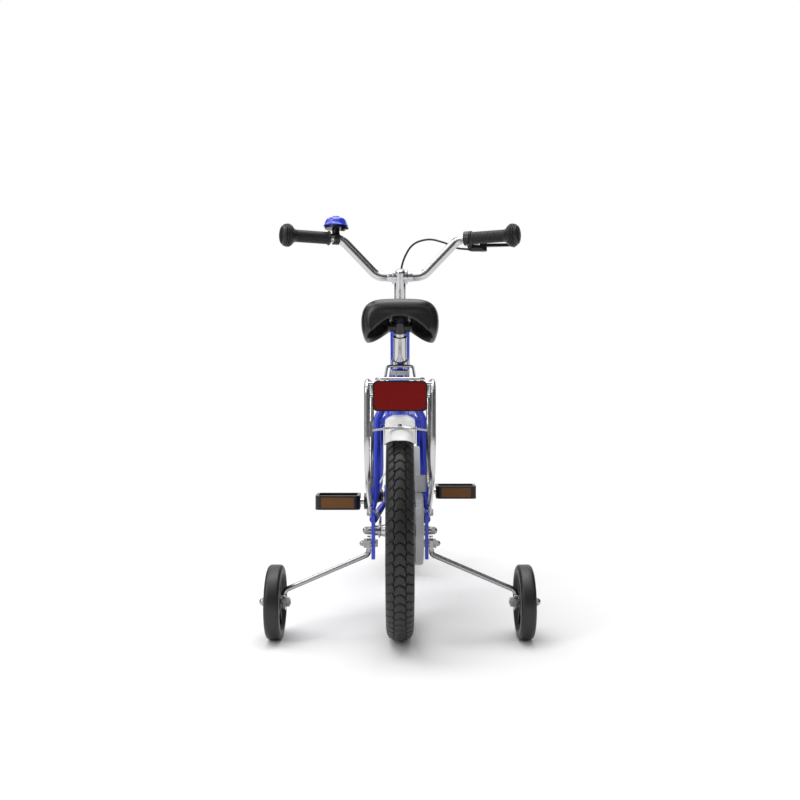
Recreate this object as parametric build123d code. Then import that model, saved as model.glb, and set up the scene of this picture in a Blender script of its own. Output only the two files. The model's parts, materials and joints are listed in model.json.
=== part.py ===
from build123d import *
import os
from math import asin, atan2, cos, pi, radians, sin, sqrt, tan

# A 16 inch children's bicycle with training wheels, standing on the floor.
# Millimetres. +Y is forward, +X is the rider's right, +Z is up. The origin is on the floor,
# midway along the bicycle. The wheels' axles lie along X.

# Whole bicycle
WHEELBASE = 727.0
HEAD_ANGLE = 68.0
SEAT_ANGLE = 67.0
FORK_OFFSET = 35.0
REFLECTOR_REACH = 205.0
SEAT = 0.05
FIT = 0.1
GAP = 0.3

# Wheels
WHEEL_RADIUS = 200.0
TYRE_WIDTH = 50.0
TYRE_WALL = 4.0
TREAD_THICKNESS = 7.0
TREAD_DROP = 7.0
GROOVE_PLACE = 11.0
GROOVE_WIDTH = 2.2
GROOVE_DEPTH = 2.2
RIM_FLANGE_RADIUS = 159.0
RIM_BED_RADIUS = 143.0
RIM_WIDTH = 28.0
RIM_WALL = 2.0
SPOKES = 20
SPOKE_RADIUS = 1.0
FRONT_AXLE_RADIUS = 4.75
AXLE_STUB_RADIUS = 4.0
AXLE_STUB_LENGTH = 8.0
REAR_AXLE_RADIUS = 5.0
FRONT_FLANGE_RADIUS = 24.0
REAR_FLANGE_RADIUS = 31.0
FLANGE_THICKNESS = 2.6
FRONT_FLANGE_PLACE = 27.0
REAR_FLANGE_PLACE = 23.0
FRONT_BARREL_RADIUS = 14.0
REAR_BARREL_RADIUS = 21.0

# Drive
CHAIN_PITCH = 12.7
CHAIN_LINKS = 68
CHAINRING_TEETH = 36
SPROCKET_TEETH = 16
CHAIN_LINE = 38.0
ROLLER_RADIUS = 3.85
CHAIN_INNER_WIDTH = 3.6
CHAIN_PLATE = 1.2
CHAIN_PLATE_HEIGHT = 8.4
TOOTH_WIDTH = 2.8
CRANK_LENGTH = 102.0
SPINDLE_RADIUS = 7.5
CRANK_BOSS_RADIUS = 14.0
LEFT_BOSS_INNER = 36.0
BOSS_WIDTH = 13.0
RIGHT_BOSS_OUTER = 58.0
PEDAL_EYE_RADIUS = 16.5
PEDAL_EYE_INNER = 63.3
PEDAL_EYE_WIDTH = 10.0
BOTTOM_BRACKET_HEIGHT = 237.0
SHELL_RADIUS = 23.5
SHELL_HALF_WIDTH = 34.0
SHELL_BORE = 18.0

# Chain case
CASE_INNER = 28.5
CASE_OUTER = 43.5
CASE_WALL = 1.6
CASE_REAR_RADIUS = 64.0
CASE_FRONT_RADIUS = 107.0
CASE_EDGE = 5.0
CASE_CLAMP_LOW = 271.0
CASE_CLAMP_HIGH = 302.0

# Pedals
PEDAL_INNER = 81.0
PEDAL_WIDTH = 90.0
PEDAL_LENGTH = 64.0
PEDAL_HEIGHT = 28.4
PEDAL_WALL = 6.0
PEDAL_TUBE_RADIUS = 8.5
PEDAL_SPINDLE_RADIUS = 5.0
PEDAL_NECK_RADIUS = 6.2
PEDAL_CORNER = 10.0
PEDAL_REFLECTOR_WIDTH = 65.7
PEDAL_REFLECTOR_HEIGHT = 20.9
PEDAL_REFLECTOR_DEPTH = 2.4

# Frame
HEAD_TUBE_RADIUS = 24.0
HEAD_TUBE_BORE = 21.0
HEAD_TUBE_LOW = 240.0
HEAD_TUBE_LENGTH = 244.0
SEAT_TUBE_RADIUS = 15.4
SEAT_TUBE_TOP = 524.0
DOWN_TUBE_RADIUS = 17.0
TOP_TUBE_RADIUS = 14.0
TUBE_WALL = 2.0
DOWN_TUBE_HEAD = 40.0
TOP_TUBE_HEAD = 150.0
TOP_TUBE_SEAT_HEIGHT = 425.0
DROPOUT_INNER = 46.5
DROPOUT_OUTER = 53.0
DROPOUT_LOW = 147.0
DROPOUT_HIGH = 240.0
DROPOUT_DEPTH = 34.0
ARM_INNER = 36.9
ARM_OUTER = 39.9
CHAINSTAY_RADIUS = 8.0
CHAINSTAY_FRONT_RADIUS = 5.5
CHAINSTAY_HEIGHT = 219.0
SEAT_STAY_RADIUS = 8.0
SEAT_STAY_HALF = 46.4
SEAT_STAY_TOP = 478.0
BRIDGE_RADIUS = 6.0

# Seat
POST_RADIUS = 13.6
POST_NECK_RADIUS = 10.0
POST_NECK_HEIGHT = 571.0
POST_TOP = 600.0
POST_INSIDE = 130.0
COLLAR_RADIUS = 17.3
COLLAR_LENGTH = 14.0
COLLAR_SLOT = 11.7
SADDLE_WIDTH = 151.0
SADDLE_TOP = 638.0
SADDLE_LOW = 555.0
SADDLE_LENGTH = 232.0
SADDLE_ROOF = 12.0
SADDLE_WALL = 7.0
RAIL_RADIUS = 3.5
RAIL_HALF = 18.0
CLAMP_HEIGHT = 590.0
CLAMP_BOLT_HALF = 24.0
CLAMP_NUT_RADIUS = 6.0

# Steering
STEERER_RADIUS = 12.7
STEERER_BORE = 11.2
QUILL_RADIUS = 11.1
QUILL_DEPTH = 70.0
CUP_RADIUS = 22.0
CUP_HEIGHT = 9.0
LOCKNUT_RADIUS = 18.0
LOCKNUT_HEIGHT = 8.0
CROWN_LOW = 201.8
CROWN_HEIGHT = 28.0
CROWN_DEPTH = 30.0
LEG_HALF = 52.0
LEG_RADIUS = 9.5
LEG_TIP_RADIUS = 6.5
FORK_END_INNER = 52.0
FORK_END_THICKNESS = 4.5
STEM_RADIUS = 14.0
STEM_CLAMP_RADIUS = 20.0
STEM_CLAMP_WIDTH = 38.0
BAR_HEIGHT = 739.0
BAR_RADIUS = 11.1
BAR_BULGE_RADIUS = 12.7
BAR_BULGE_HALF = 30.0
BAR_WALL = 2.0
BAR_LOWER_BEND = 54.0
BAR_UPPER_BEND = 140.0
BAR_RISE = 89.5
BAR_END = 272.0
BAR_SWEEP = 22.6
GRIP_LENGTH = 117.0
GRIP_RADIUS = 14.5
GRIP_END_RADIUS = 27.0

# Brake
PIVOT_HEIGHT = 216.0
ARM_THICKNESS = 5.0
ARM_HALF = 36.0
PAD_RADIUS = 152.0
PAD_GAP = 3.2
PAD_LENGTH = 46.0
PAD_HEIGHT = 9.0
CABLE_RADIUS = 2.5
LEVER_CLAMP_PLACE = 24.0
LEVER_CLAMP_WIDTH = 17.0
LEVER_CLAMP_RADIUS = 17.0
LEVER_PIVOT_PLACE = 52.0
LEVER_PIVOT_REACH = 30.0
LEVER_TIP_PLACE = 122.0
LEVER_TIP_REACH = 50.0
LEVER_DROP = 14.0

# Bell
BELL_PLACE = 14.0
BELL_RADIUS = 29.5
BELL_HEIGHT = 25.0
BELL_TOP = 882.0
BELL_WALL = 1.5

# Mudguards
GUARD_RADIUS = 216.5
GUARD_HALF = 27.3
GUARD_WALL = 1.8
GUARD_DROP = 12.0
REAR_GUARD_START = 12.0
REAR_GUARD_END = 126.0
FRONT_GUARD_START = 38.0
FRONT_GUARD_END = 172.0
GUARD_STAY_RADIUS = 2.0

# Rear rack and reflector
RACK_HALF = 54.5
RACK_RADIUS = 4.7
RACK_HEIGHT = 475.0
RACK_FRONT = 52.0
RACK_REAR = 197.5
RACK_BOLT_Y = 8.0
RACK_BOLT_Z = 233.0
RACK_EYE_INNER = 55.0
RACK_EYE_OUTER = 58.4
RACK_ROD_RADIUS = 3.0
RACK_LONG_RADIUS = 2.5
RACK_ROD_HALF = 22.0
HOOP_HALF = 30.5
HOOP_HEIGHT = 512.0
REFLECTOR_WIDTH = 90.0
REFLECTOR_HEIGHT = 50.0
REFLECTOR_DEPTH = 10.0
REFLECTOR_CORNER = 8.0
REFLECTOR_RIM = 2.2
REFLECTOR_Z = 450.5
CLIP_RADIUS = 2.4
CLIP_HALF = 41.0
CLIP_REACH = 168.0

# Training wheels
TRAINING_RADIUS = 68.5
TRAINING_INNER = 217.6
TRAINING_WIDTH = 28.0
TRAINING_Y = -8.0
TRAINING_BOLT_Z = 177.5
TRAINING_BOLT_RADIUS = 5.0
TRAINING_ARM_RADIUS = 5.0
TRAINING_ARM_INNER = 54.6
TRAINING_PLATE = 6.7
TRAINING_END_X = 215.0

# Places worked out from the sizes above
REAR_Y = -(WHEELBASE + WHEEL_RADIUS - REFLECTOR_REACH) / 2
FRONT_Y = REAR_Y + WHEELBASE
RING_RADIUS = CHAIN_PITCH / 2 / sin(pi / CHAINRING_TEETH)
SPROCKET_RADIUS = CHAIN_PITCH / 2 / sin(pi / SPROCKET_TEETH)


def axle_distance():
    """The distance between spindle and rear axle at which the chain has a whole number of links."""
    distance = 260.0
    for _ in range(30):
        lean = asin((RING_RADIUS - SPROCKET_RADIUS) / distance)
        on_ring = CHAINRING_TEETH * (pi + 2 * lean) / (2 * pi)
        on_sprocket = SPROCKET_TEETH * (pi - 2 * lean) / (2 * pi)
        distance = (CHAIN_LINKS - on_ring - on_sprocket) * CHAIN_PITCH / 2 / cos(lean)
    return distance


AXLE_DISTANCE = axle_distance()
CHAIN_LEAN = asin((RING_RADIUS - SPROCKET_RADIUS) / AXLE_DISTANCE)
DRIVE_TILT = asin((BOTTOM_BRACKET_HEIGHT - WHEEL_RADIUS) / AXLE_DISTANCE)
BRACKET_Y = REAR_Y + AXLE_DISTANCE * cos(DRIVE_TILT)
BRACKET = Vector(0, BRACKET_Y, BOTTOM_BRACKET_HEIGHT)
REAR_AXLE = Vector(0, REAR_Y, WHEEL_RADIUS)
FRONT_AXLE = Vector(0, FRONT_Y, WHEEL_RADIUS)
STEER_UP = Vector(0, -cos(radians(HEAD_ANGLE)), sin(radians(HEAD_ANGLE)))
STEER_FOOT = Vector(0, FRONT_Y - FORK_OFFSET / sin(radians(HEAD_ANGLE)), WHEEL_RADIUS)
STEER = Plane(origin=STEER_FOOT, x_dir=(1, 0, 0), z_dir=STEER_UP)
# The front axle lies ahead of the steering axis by the offset, and below the axis's own foot
STEER_AXLE_UP = -FORK_OFFSET / tan(radians(HEAD_ANGLE))
SEAT_UP = Vector(0, -cos(radians(SEAT_ANGLE)), sin(radians(SEAT_ANGLE)))
HEAD_TOP = HEAD_TUBE_LOW + HEAD_TUBE_LENGTH
STEERER_TOP = HEAD_TOP + CUP_HEIGHT + LOCKNUT_HEIGHT
BAR_UP = (BAR_HEIGHT - WHEEL_RADIUS) / STEER_UP.Z
TRAINING_AXIS_Z = TRAINING_RADIUS


def seat_point(height):
    """The point of the seat tube's axis at a height above the floor."""
    return BRACKET + SEAT_UP * ((height - BRACKET.Z) / SEAT_UP.Z)


def rod(start, end, radius):
    """A round bar between two points."""
    start, end = Vector(start), Vector(end)
    return Solid.make_cylinder(radius, (end - start).length, Plane(origin=start, z_dir=end - start))


def across(x_start, x_end, radius, centre):
    """A round bar along X, centred on a point's Y and Z."""
    return rod((x_start, centre.Y, centre.Z), (x_end, centre.Y, centre.Z), radius)


def hexagon(x_start, x_end, flats, centre):
    """A hexagonal bar along X."""
    outline = RegularPolygon(flats / 2, 6, major_radius=False)
    return extrude(Plane((x_start, centre.Y, centre.Z), x_dir=(0, 1, 0), z_dir=(1, 0, 0)) * outline,
                   amount=x_end - x_start)


def cap_arc(radius, rise, base=0.0, upright=False):
    """The arc of a round cap, from its rim to its top on the axis."""
    ball = (radius ** 2 + rise ** 2) / (2 * rise)
    half = asin(radius / ball) / 2 if rise <= radius else pi / 4
    points = [(base, radius), (base + rise - ball + ball * cos(half), ball * sin(half)), (base + rise, 0)]
    if upright:
        points = [(across_axis, along) for along, across_axis in points]
    return ThreePointArc(*points)


def dome(x_start, x_end, radius, centre):
    """A rounded cap along X, flat at its start."""
    rise = x_end - x_start
    profile = make_face([Line((0, 0), (0, radius)), cap_arc(radius, rise), Line((rise, 0), (0, 0))])
    return Pos(x_start, centre.Y, centre.Z) * revolve(profile, Axis.X)


def turned(points, centre, arcs=()):
    """A body turned about an axle along X, from an outline of places along it and radii."""
    edges = []
    count = len(points)
    for i in range(count):
        start, end = points[i], points[(i + 1) % count]
        middle = dict(arcs).get(i)
        edges.append(ThreePointArc(start, middle, end) if middle else Line(start, end))
    return Pos(0, centre.Y, centre.Z) * revolve(make_face(edges), Axis.X)


def bent(points, radii, radius, end_radius=None):
    """A round bar along straight runs joined by tangent arcs, tapered where it has an end radius."""
    path = FilletPolyline(*[Vector(p) for p in points], radius=radii)
    profile = Plane(origin=path @ 0, z_dir=path % 0) * Circle(radius)
    if end_radius is None:
        return sweep(profile, path=path)
    last = Plane(origin=path @ 1, z_dir=path % 1) * Circle(end_radius)
    return sweep([profile, last], path=path, multisection=True)


def plate(outline, x_start, x_end):
    """A flat plate across X from an outline in Y and Z."""
    return extrude(Plane.YZ.offset(x_start) * outline, amount=x_end - x_start)


def other_side(shape):
    """The same piece on the other side of the bicycle."""
    return mirror(shape, about=Plane.YZ)


def largest(shape):
    """The largest of the solids that a cut has left."""
    return max(shape.solids(), key=lambda solid: solid.volume)


def save(name, *shapes):
    """Writes one named piece, or a group of equal pieces, to its file."""
    solids = [solid for shape in shapes for solid in shape.solids()]
    whole = solids[0] if len(solids) == 1 else Compound(children=solids)
    export_step(whole, f"parts/{name}.step")


def steered(shape):
    """Moves a shape from the steering axis's own coordinates to its place."""
    return STEER.location * shape


def steer_point(x, ahead, up):
    """A point given across, ahead of and up along the steering axis."""
    return STEER.from_local_coords(Vector(x, ahead, up))


# Wheels

def tyre(centre):
    """A hollow tyre with two grooves round its tread."""
    half = TYRE_WIDTH / 2
    bead = RIM_WIDTH / 2 - RIM_WALL - FIT
    seat = RIM_FLANGE_RADIUS - 6.5
    shoulder = half * 0.8
    shoulder_radius = WHEEL_RADIUS - TREAD_DROP
    belly = (RIM_FLANGE_RADIUS + shoulder_radius) / 2 + 3
    inner_top = WHEEL_RADIUS - TREAD_THICKNESS - TREAD_DROP / 2
    body = turned(
        [
            (-bead, seat), (-bead, RIM_FLANGE_RADIUS + 1), (-shoulder, shoulder_radius),
            (shoulder, shoulder_radius), (bead, RIM_FLANGE_RADIUS + 1), (bead, seat),
            (bead - TYRE_WALL, seat), (bead - TYRE_WALL, RIM_FLANGE_RADIUS + 2),
            (half - TYRE_WALL, belly), (shoulder - TYRE_WALL, inner_top),
            (TYRE_WALL - shoulder, inner_top), (TYRE_WALL - half, belly),
            (TYRE_WALL - bead, RIM_FLANGE_RADIUS + 2), (TYRE_WALL - bead, seat),
        ],
        centre,
        {1: (-half, belly), 2: (0, WHEEL_RADIUS), 3: (half, belly)},
    )
    for side in (-1, 1):
        low = side * GROOVE_PLACE - GROOVE_WIDTH / 2
        high = low + GROOVE_WIDTH
        floor = WHEEL_RADIUS - TREAD_DROP * (GROOVE_PLACE / shoulder) ** 2 - GROOVE_DEPTH
        body -= turned([(low, floor), (low, WHEEL_RADIUS + 1), (high, WHEEL_RADIUS + 1), (high, floor)],
                       centre)
    return body


def rim(centre):
    """A rolled rim with a flange each side and a bed for the spokes."""
    half = RIM_WIDTH / 2
    bed = RIM_BED_RADIUS
    return turned(
        [
            (-half, RIM_FLANGE_RADIUS), (-half, bed + 5), (-half + 5, bed), (half - 5, bed),
            (half, bed + 5), (half, RIM_FLANGE_RADIUS), (half - RIM_WALL, RIM_FLANGE_RADIUS),
            (half - RIM_WALL, bed + 6), (half - 6, bed + RIM_WALL), (-half + 6, bed + RIM_WALL),
            (-half + RIM_WALL, bed + 6), (-half + RIM_WALL, RIM_FLANGE_RADIUS),
        ],
        centre,
    )


def spokes(centre, flange_place, flange_radius):
    """Straight spokes laced one cross, half from the outer and half from the inner face of each flange."""
    laced = []
    step = 360 / SPOKES
    hub_radius = flange_radius - 4
    face = FLANGE_THICKNESS / 2 + SPOKE_RADIUS + SEAT
    lean = (flange_place + face - 3) / (RIM_BED_RADIUS - hub_radius)
    outer_face = face + (flange_radius - hub_radius + 1.0) * lean
    inside_rim = across(-RIM_WIDTH, RIM_WIDTH, RIM_BED_RADIUS - SEAT, centre)
    for side in (-1, 1):
        for k in range(SPOKES // 2):
            leading = k % 2 == 0
            hub_angle = radians(2 * step * k + (step if side > 0 else 0))
            turn = radians(2 * step if leading else -2 * step)
            lift = outer_face if leading else -face
            start = Vector(side * (flange_place + lift), centre.Y + hub_radius * cos(hub_angle),
                           centre.Z + hub_radius * sin(hub_angle))
            far = RIM_BED_RADIUS + 2
            end = Vector(side * 3, centre.Y + far * cos(hub_angle + turn),
                         centre.Z + far * sin(hub_angle + turn))
            laced.append(rod(start, end, SPOKE_RADIUS) & inside_rim)
    return laced


def hub(centre, place, flange_radius, barrel, bore, half):
    """A hub shell with two spoke flanges, bored for its axle."""
    thick = FLANGE_THICKNESS / 2
    collar = bore + 5
    outline = [
        (-half, bore), (-half, collar), (-place - thick, collar + 3), (-place - thick, flange_radius),
        (-place + thick, flange_radius), (-place + thick, barrel), (place - thick, barrel),
        (place - thick, flange_radius), (place + thick, flange_radius), (place + thick, collar + 3),
        (half, collar), (half, bore),
    ]
    return turned(outline, centre)


# Drive

def chain_point(count):
    """Place, heading and arc of the chain's pitch line a number of pitches from the ring's top tangent."""
    run = AXLE_DISTANCE * cos(CHAIN_LEAN) / CHAIN_PITCH
    round_sprocket = SPROCKET_TEETH * (pi - 2 * CHAIN_LEAN) / (2 * pi)
    round_ring = CHAINRING_TEETH * (pi + 2 * CHAIN_LEAN) / (2 * pi)
    count = count % CHAIN_LINKS
    top = pi / 2 + CHAIN_LEAN
    if count < run:
        angle = top
        along = count * CHAIN_PITCH
        y = RING_RADIUS * cos(angle) - along * sin(angle)
        z = RING_RADIUS * sin(angle) + along * cos(angle)
    elif count < run + round_sprocket:
        angle = top + (count - run) * 2 * pi / SPROCKET_TEETH
        y = -AXLE_DISTANCE + SPROCKET_RADIUS * cos(angle)
        z = SPROCKET_RADIUS * sin(angle)
    elif count < 2 * run + round_sprocket:
        angle = top + pi - 2 * CHAIN_LEAN
        along = (count - run - round_sprocket) * CHAIN_PITCH
        y = -AXLE_DISTANCE + SPROCKET_RADIUS * cos(angle) - along * sin(angle)
        z = SPROCKET_RADIUS * sin(angle) + along * cos(angle)
    else:
        angle = top + pi - 2 * CHAIN_LEAN + (count - 2 * run - round_sprocket) * 2 * pi / CHAINRING_TEETH
        y = RING_RADIUS * cos(angle)
        z = RING_RADIUS * sin(angle)
    turn = DRIVE_TILT
    return Vector(0, BRACKET.Y + y * cos(turn) - z * sin(turn), BRACKET.Z + y * sin(turn) + z * cos(turn))


def toothed(teeth, pitch_radius, centre, phase, bore):
    """A toothed plate whose gaps hold the chain's rollers."""
    root = pitch_radius - ROLLER_RADIUS - FIT
    tip = pitch_radius + ROLLER_RADIUS - 0.4
    points = []
    for k in range(teeth):
        middle = phase + (k + 0.5) * 2 * pi / teeth
        for radius, width in ((root, 0.29), (pitch_radius, 0.15), (tip, 0.06)):
            points.append((radius, middle - width * 2 * pi / teeth))
        for radius, width in ((tip, 0.06), (pitch_radius, 0.15), (root, 0.29)):
            points.append((radius, middle + width * 2 * pi / teeth))
    outline = make_face(Polyline(*[
        (centre.Y + r * cos(a), centre.Z + r * sin(a)) for r, a in points], close=True))
    low = CHAIN_LINE - TOOTH_WIDTH / 2
    body = plate(outline, low, low + TOOTH_WIDTH)
    return body - across(low - 1, low + TOOTH_WIDTH + 1, bore, centre)


def drive_phase(centre, count):
    """The angle about a centre at which a roller sits, the given pitches along the chain."""
    point = chain_point(count)
    return atan2(point.Z - centre.Z, point.Y - centre.Y)


def hull_outline(rear_radius, front_radius):
    """The outline round two circles, one about the rear axle and one about the spindle."""
    lean = asin((front_radius - rear_radius) / AXLE_DISTANCE)
    up, down = pi / 2 + lean + DRIVE_TILT, -pi / 2 - lean + DRIVE_TILT
    rear, front = (REAR_AXLE.Y, REAR_AXLE.Z), (BRACKET.Y, BRACKET.Z)

    def on(centre, radius, angle):
        return centre[0] + radius * cos(angle), centre[1] + radius * sin(angle)

    return make_face([
        Line(on(front, front_radius, up), on(rear, rear_radius, up)),
        ThreePointArc(on(rear, rear_radius, up), on(rear, rear_radius, pi + DRIVE_TILT),
                      on(rear, rear_radius, down)),
        Line(on(rear, rear_radius, down), on(front, front_radius, down)),
        ThreePointArc(on(front, front_radius, down), on(front, front_radius, DRIVE_TILT),
                      on(front, front_radius, up)),
    ])


def chain():
    """Side plates in two bands round both wheels of teeth, with a roller at every pitch."""
    half = CHAIN_PLATE_HEIGHT / 2
    band = hull_outline(SPROCKET_RADIUS + half, RING_RADIUS + half)
    band -= hull_outline(SPROCKET_RADIUS - half, RING_RADIUS - half)
    inner = CHAIN_INNER_WIDTH / 2
    body = plate(band, CHAIN_LINE + inner, CHAIN_LINE + inner + CHAIN_PLATE)
    body += plate(band, CHAIN_LINE - inner - CHAIN_PLATE, CHAIN_LINE - inner)
    rollers = []
    for k in range(CHAIN_LINKS):
        centre = chain_point(k)
        rollers.append(hexagon(CHAIN_LINE - inner, CHAIN_LINE + inner, 2 * ROLLER_RADIUS * 0.9, centre))
    return body.fuse(*rollers)


# Stays

def chainstay_route(side=1):
    """The chainstay's centre line, from the bottom bracket back past the tyre to the dropout."""
    join = Vector(side * 16.5, REAR_Y + 240, BRACKET.Z - 6)
    narrow = Vector(side * 35.2, REAR_Y + 170, CHAINSTAY_HEIGHT + 8)
    end = Vector(side * 49.75, REAR_Y + 14, CHAINSTAY_HEIGHT)
    return [join, narrow, end]


def chainstay_tube(side=1, room=0.0):
    """A chainstay, thinner at its front end, or the room that one needs."""
    return bent(chainstay_route(side), [60], CHAINSTAY_FRONT_RADIUS + room, CHAINSTAY_RADIUS + room)


def seat_stay_route(side=1):
    """The seat stay's centre line, from above the dropout to the side of the seat tube."""
    foot = Vector(side * SEAT_STAY_HALF, REAR_Y + 20.7, 268)
    knee = Vector(side * SEAT_STAY_HALF, REAR_Y + 96, 404)
    neck = Vector(side * 19, REAR_Y + 124, 456)
    top = seat_point(SEAT_STAY_TOP) + Vector(side * 13, -2, 0)
    return [foot, knee, neck, top]


def seat_stay():
    """A curved stay with its lower end narrowed onto the dropout plate."""
    route = seat_stay_route()
    tube = bent(route, [55, 30], SEAT_STAY_RADIUS)
    heading = (route[1] - route[0]).normalized()
    foot = Plane(origin=route[0], x_dir=(1, 0, 0), z_dir=heading)
    low = Plane(origin=(49.75, REAR_Y + 5.5, DROPOUT_HIGH + SEAT), x_dir=(1, 0, 0), z_dir=(0, 0, 1))
    narrow = low * Ellipse(4.6, 9.5)
    return tube + loft([narrow, foot * Circle(SEAT_STAY_RADIUS)])


# Handlebar line

def bar_points():
    """The handlebar's corners on the right side, from its centre to its end."""
    centre = Vector(0, STEER_FOOT.Y + STEER_UP.Y * BAR_UP, BAR_HEIGHT)
    lower = centre + Vector(BAR_LOWER_BEND, 0, 0)
    upper = centre + Vector(BAR_UPPER_BEND, -4, BAR_RISE)
    reach = BAR_END - BAR_UPPER_BEND
    end = upper + Vector(reach, -reach * tan(radians(BAR_SWEEP)), 0)
    return centre, lower, upper, end


def bar_tube(radius):
    """A solid along the whole handlebar line."""
    _, lower, upper, end = bar_points()
    left = [Vector(-p.X, p.Y, p.Z) for p in (end, upper, lower)]
    return bent([*left, lower, upper, end], [38, 38, 38, 38], radius)


def grip_plane(place, side=1):
    """A plane square across the grip's line, some way out from the upper bend."""
    _, _, upper, end = bar_points()
    line = (end - upper).normalized()
    origin = upper + line * place
    heading = Vector(side * line.X, line.Y, line.Z)
    return Plane(origin=(side * origin.X, origin.Y, origin.Z), x_dir=(0, 0, 1), z_dir=heading)


def bar_place(place, ahead, up):
    """A point beside the right grip: out along it, ahead of it and above it."""
    _, _, upper, end = bar_points()
    line = (end - upper).normalized()
    forward = Vector(-line.Y, line.X, 0)
    return upper + line * place + forward * ahead + Vector(0, 0, up)


CABLE_AWAY = Vector(-1, 0.2, 0.1).normalized()
BAR_LEG = (bar_points()[3] - bar_points()[2]).length


def build_wheels():
    for name, centre, place, flange, barrel, bore, half in (
        ("front", FRONT_AXLE, FRONT_FLANGE_PLACE, FRONT_FLANGE_RADIUS, FRONT_BARREL_RADIUS,
         FRONT_AXLE_RADIUS + FIT, FORK_END_INNER - 6),
        ("rear", REAR_AXLE, REAR_FLANGE_PLACE, REAR_FLANGE_RADIUS, REAR_BARREL_RADIUS,
         REAR_AXLE_RADIUS + FIT, CHAIN_LINE - TOOTH_WIDTH / 2),
    ):
        save(f"{name}_tyre", tyre(centre))
        save(f"{name}_rim", rim(centre))
        save(f"{name}_spokes", *spokes(centre, place, flange))
        save(f"{name}_hub", hub(centre, place, flange, barrel, bore, half))


def build_drive():
    run = AXLE_DISTANCE * cos(CHAIN_LEAN) / CHAIN_PITCH
    on_sprocket = int(run) + 3
    sprocket = toothed(SPROCKET_TEETH, SPROCKET_RADIUS, REAR_AXLE, drive_phase(REAR_AXLE, on_sprocket),
                       REAR_AXLE_RADIUS + FIT)
    save("rear_sprocket", sprocket)
    ring = toothed(CHAINRING_TEETH, RING_RADIUS, BRACKET, drive_phase(BRACKET, CHAIN_LINKS - 3),
                   SPINDLE_RADIUS + SEAT)
    low = CHAIN_LINE - TOOTH_WIDTH / 2
    for k in range(5):
        angle = 2 * pi * (k + 0.5) / 5
        middle = Vector(0, BRACKET.Y + 43 * cos(angle), BRACKET.Z + 43 * sin(angle))
        ring -= across(low - 1, low + TOOTH_WIDTH + 1, 15, middle)
    save("chainring", ring)
    save("chain", chain())
    boss_face = CHAIN_LINE + TOOTH_WIDTH / 2 + SEAT
    save("crank_spindle", across(-LEFT_BOSS_INNER - BOSS_WIDTH, RIGHT_BOSS_OUTER, SPINDLE_RADIUS, BRACKET))
    right = crank(boss_face, RIGHT_BOSS_OUTER, 1)
    left = other_side(crank(LEFT_BOSS_INNER, LEFT_BOSS_INNER + BOSS_WIDTH, -1))
    save("crank_arms", left, right)
    shafts = []
    for side, way in ((-1, -1), (1, 1)):
        eye = BRACKET + Vector(0, way * CRANK_LENGTH, 0)
        outer = PEDAL_INNER + PEDAL_WIDTH - PEDAL_WALL - GAP
        shaft = across(PEDAL_EYE_INNER, outer, PEDAL_SPINDLE_RADIUS, eye)
        shaft += across(PEDAL_EYE_INNER + PEDAL_EYE_WIDTH + SEAT, PEDAL_INNER - GAP, PEDAL_NECK_RADIUS, eye)
        shafts.append(shaft if side > 0 else other_side(shaft))
    save("pedal_spindles", *shafts)


def crank(boss_inner, boss_outer, way):
    """A crank on the right side, level, reaching forward or back to its pedal eye."""
    eye = BRACKET + Vector(0, way * CRANK_LENGTH, 0)
    near_inner, near_outer = boss_outer - BOSS_WIDTH + 1, boss_outer
    far_inner, far_outer = PEDAL_EYE_INNER, PEDAL_EYE_INNER + PEDAL_EYE_WIDTH

    def section(inner, outer, half, y):
        middle = Plane(origin=((inner + outer) / 2, y, BRACKET.Z), x_dir=(1, 0, 0), z_dir=(0, 1, 0))
        return middle * RectangleRounded(outer - inner, 2 * half, 2.5)

    start = section(near_inner, near_outer, CRANK_BOSS_RADIUS - 3, BRACKET.Y)
    end = section(far_inner, far_outer, PEDAL_EYE_RADIUS - 4, eye.Y)
    arm = loft([start, end] if way > 0 else [end, start], ruled=True)
    arm += across(boss_inner, boss_outer, CRANK_BOSS_RADIUS, BRACKET)
    arm += across(far_inner, far_outer, PEDAL_EYE_RADIUS, eye)
    arm -= across(boss_inner - 1, boss_outer + 1, SPINDLE_RADIUS + SEAT, BRACKET)
    return arm - across(far_inner - 1, far_outer + 1, PEDAL_SPINDLE_RADIUS + SEAT, eye)


def build_pedals():
    for name, side, way in (("pedal_left", -1, -1), ("pedal_right", 1, 1)):
        eye = BRACKET + Vector(0, way * CRANK_LENGTH, 0)
        middle = PEDAL_INNER + PEDAL_WIDTH / 2
        base = eye + Vector(middle, 0, -PEDAL_HEIGHT / 2)
        outline = RectangleRounded(PEDAL_WIDTH, PEDAL_LENGTH, PEDAL_CORNER)
        window = Rectangle(PEDAL_WIDTH - 2 * PEDAL_WALL, PEDAL_LENGTH - 2 * PEDAL_WALL)
        body = extrude(Pos(*base) * (outline - window), amount=PEDAL_HEIGHT)
        body += across(PEDAL_INNER + 1, PEDAL_INNER + PEDAL_WIDTH - 1, PEDAL_TUBE_RADIUS, eye)
        body -= across(PEDAL_INNER - 1, PEDAL_INNER + PEDAL_WIDTH - PEDAL_WALL, PEDAL_SPINDLE_RADIUS + FIT, eye)
        lenses = []
        for face in (-1, 1):
            y = eye.Y + face * (PEDAL_LENGTH / 2 - PEDAL_REFLECTOR_DEPTH / 2)
            size = (PEDAL_REFLECTOR_WIDTH, PEDAL_REFLECTOR_DEPTH, PEDAL_REFLECTOR_HEIGHT)
            body -= Pos(middle, y + face, eye.Z) * Box(size[0], size[1] + 2, size[2])
            trimmed = [length - 2 * SEAT for length in size]
            lenses.append(Pos(middle, y, eye.Z) * Box(*trimmed))
        if side < 0:
            body, lenses = other_side(body), [other_side(lens) for lens in lenses]
        save(name, body)
        save(f"{name}_reflectors", *lenses)


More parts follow.
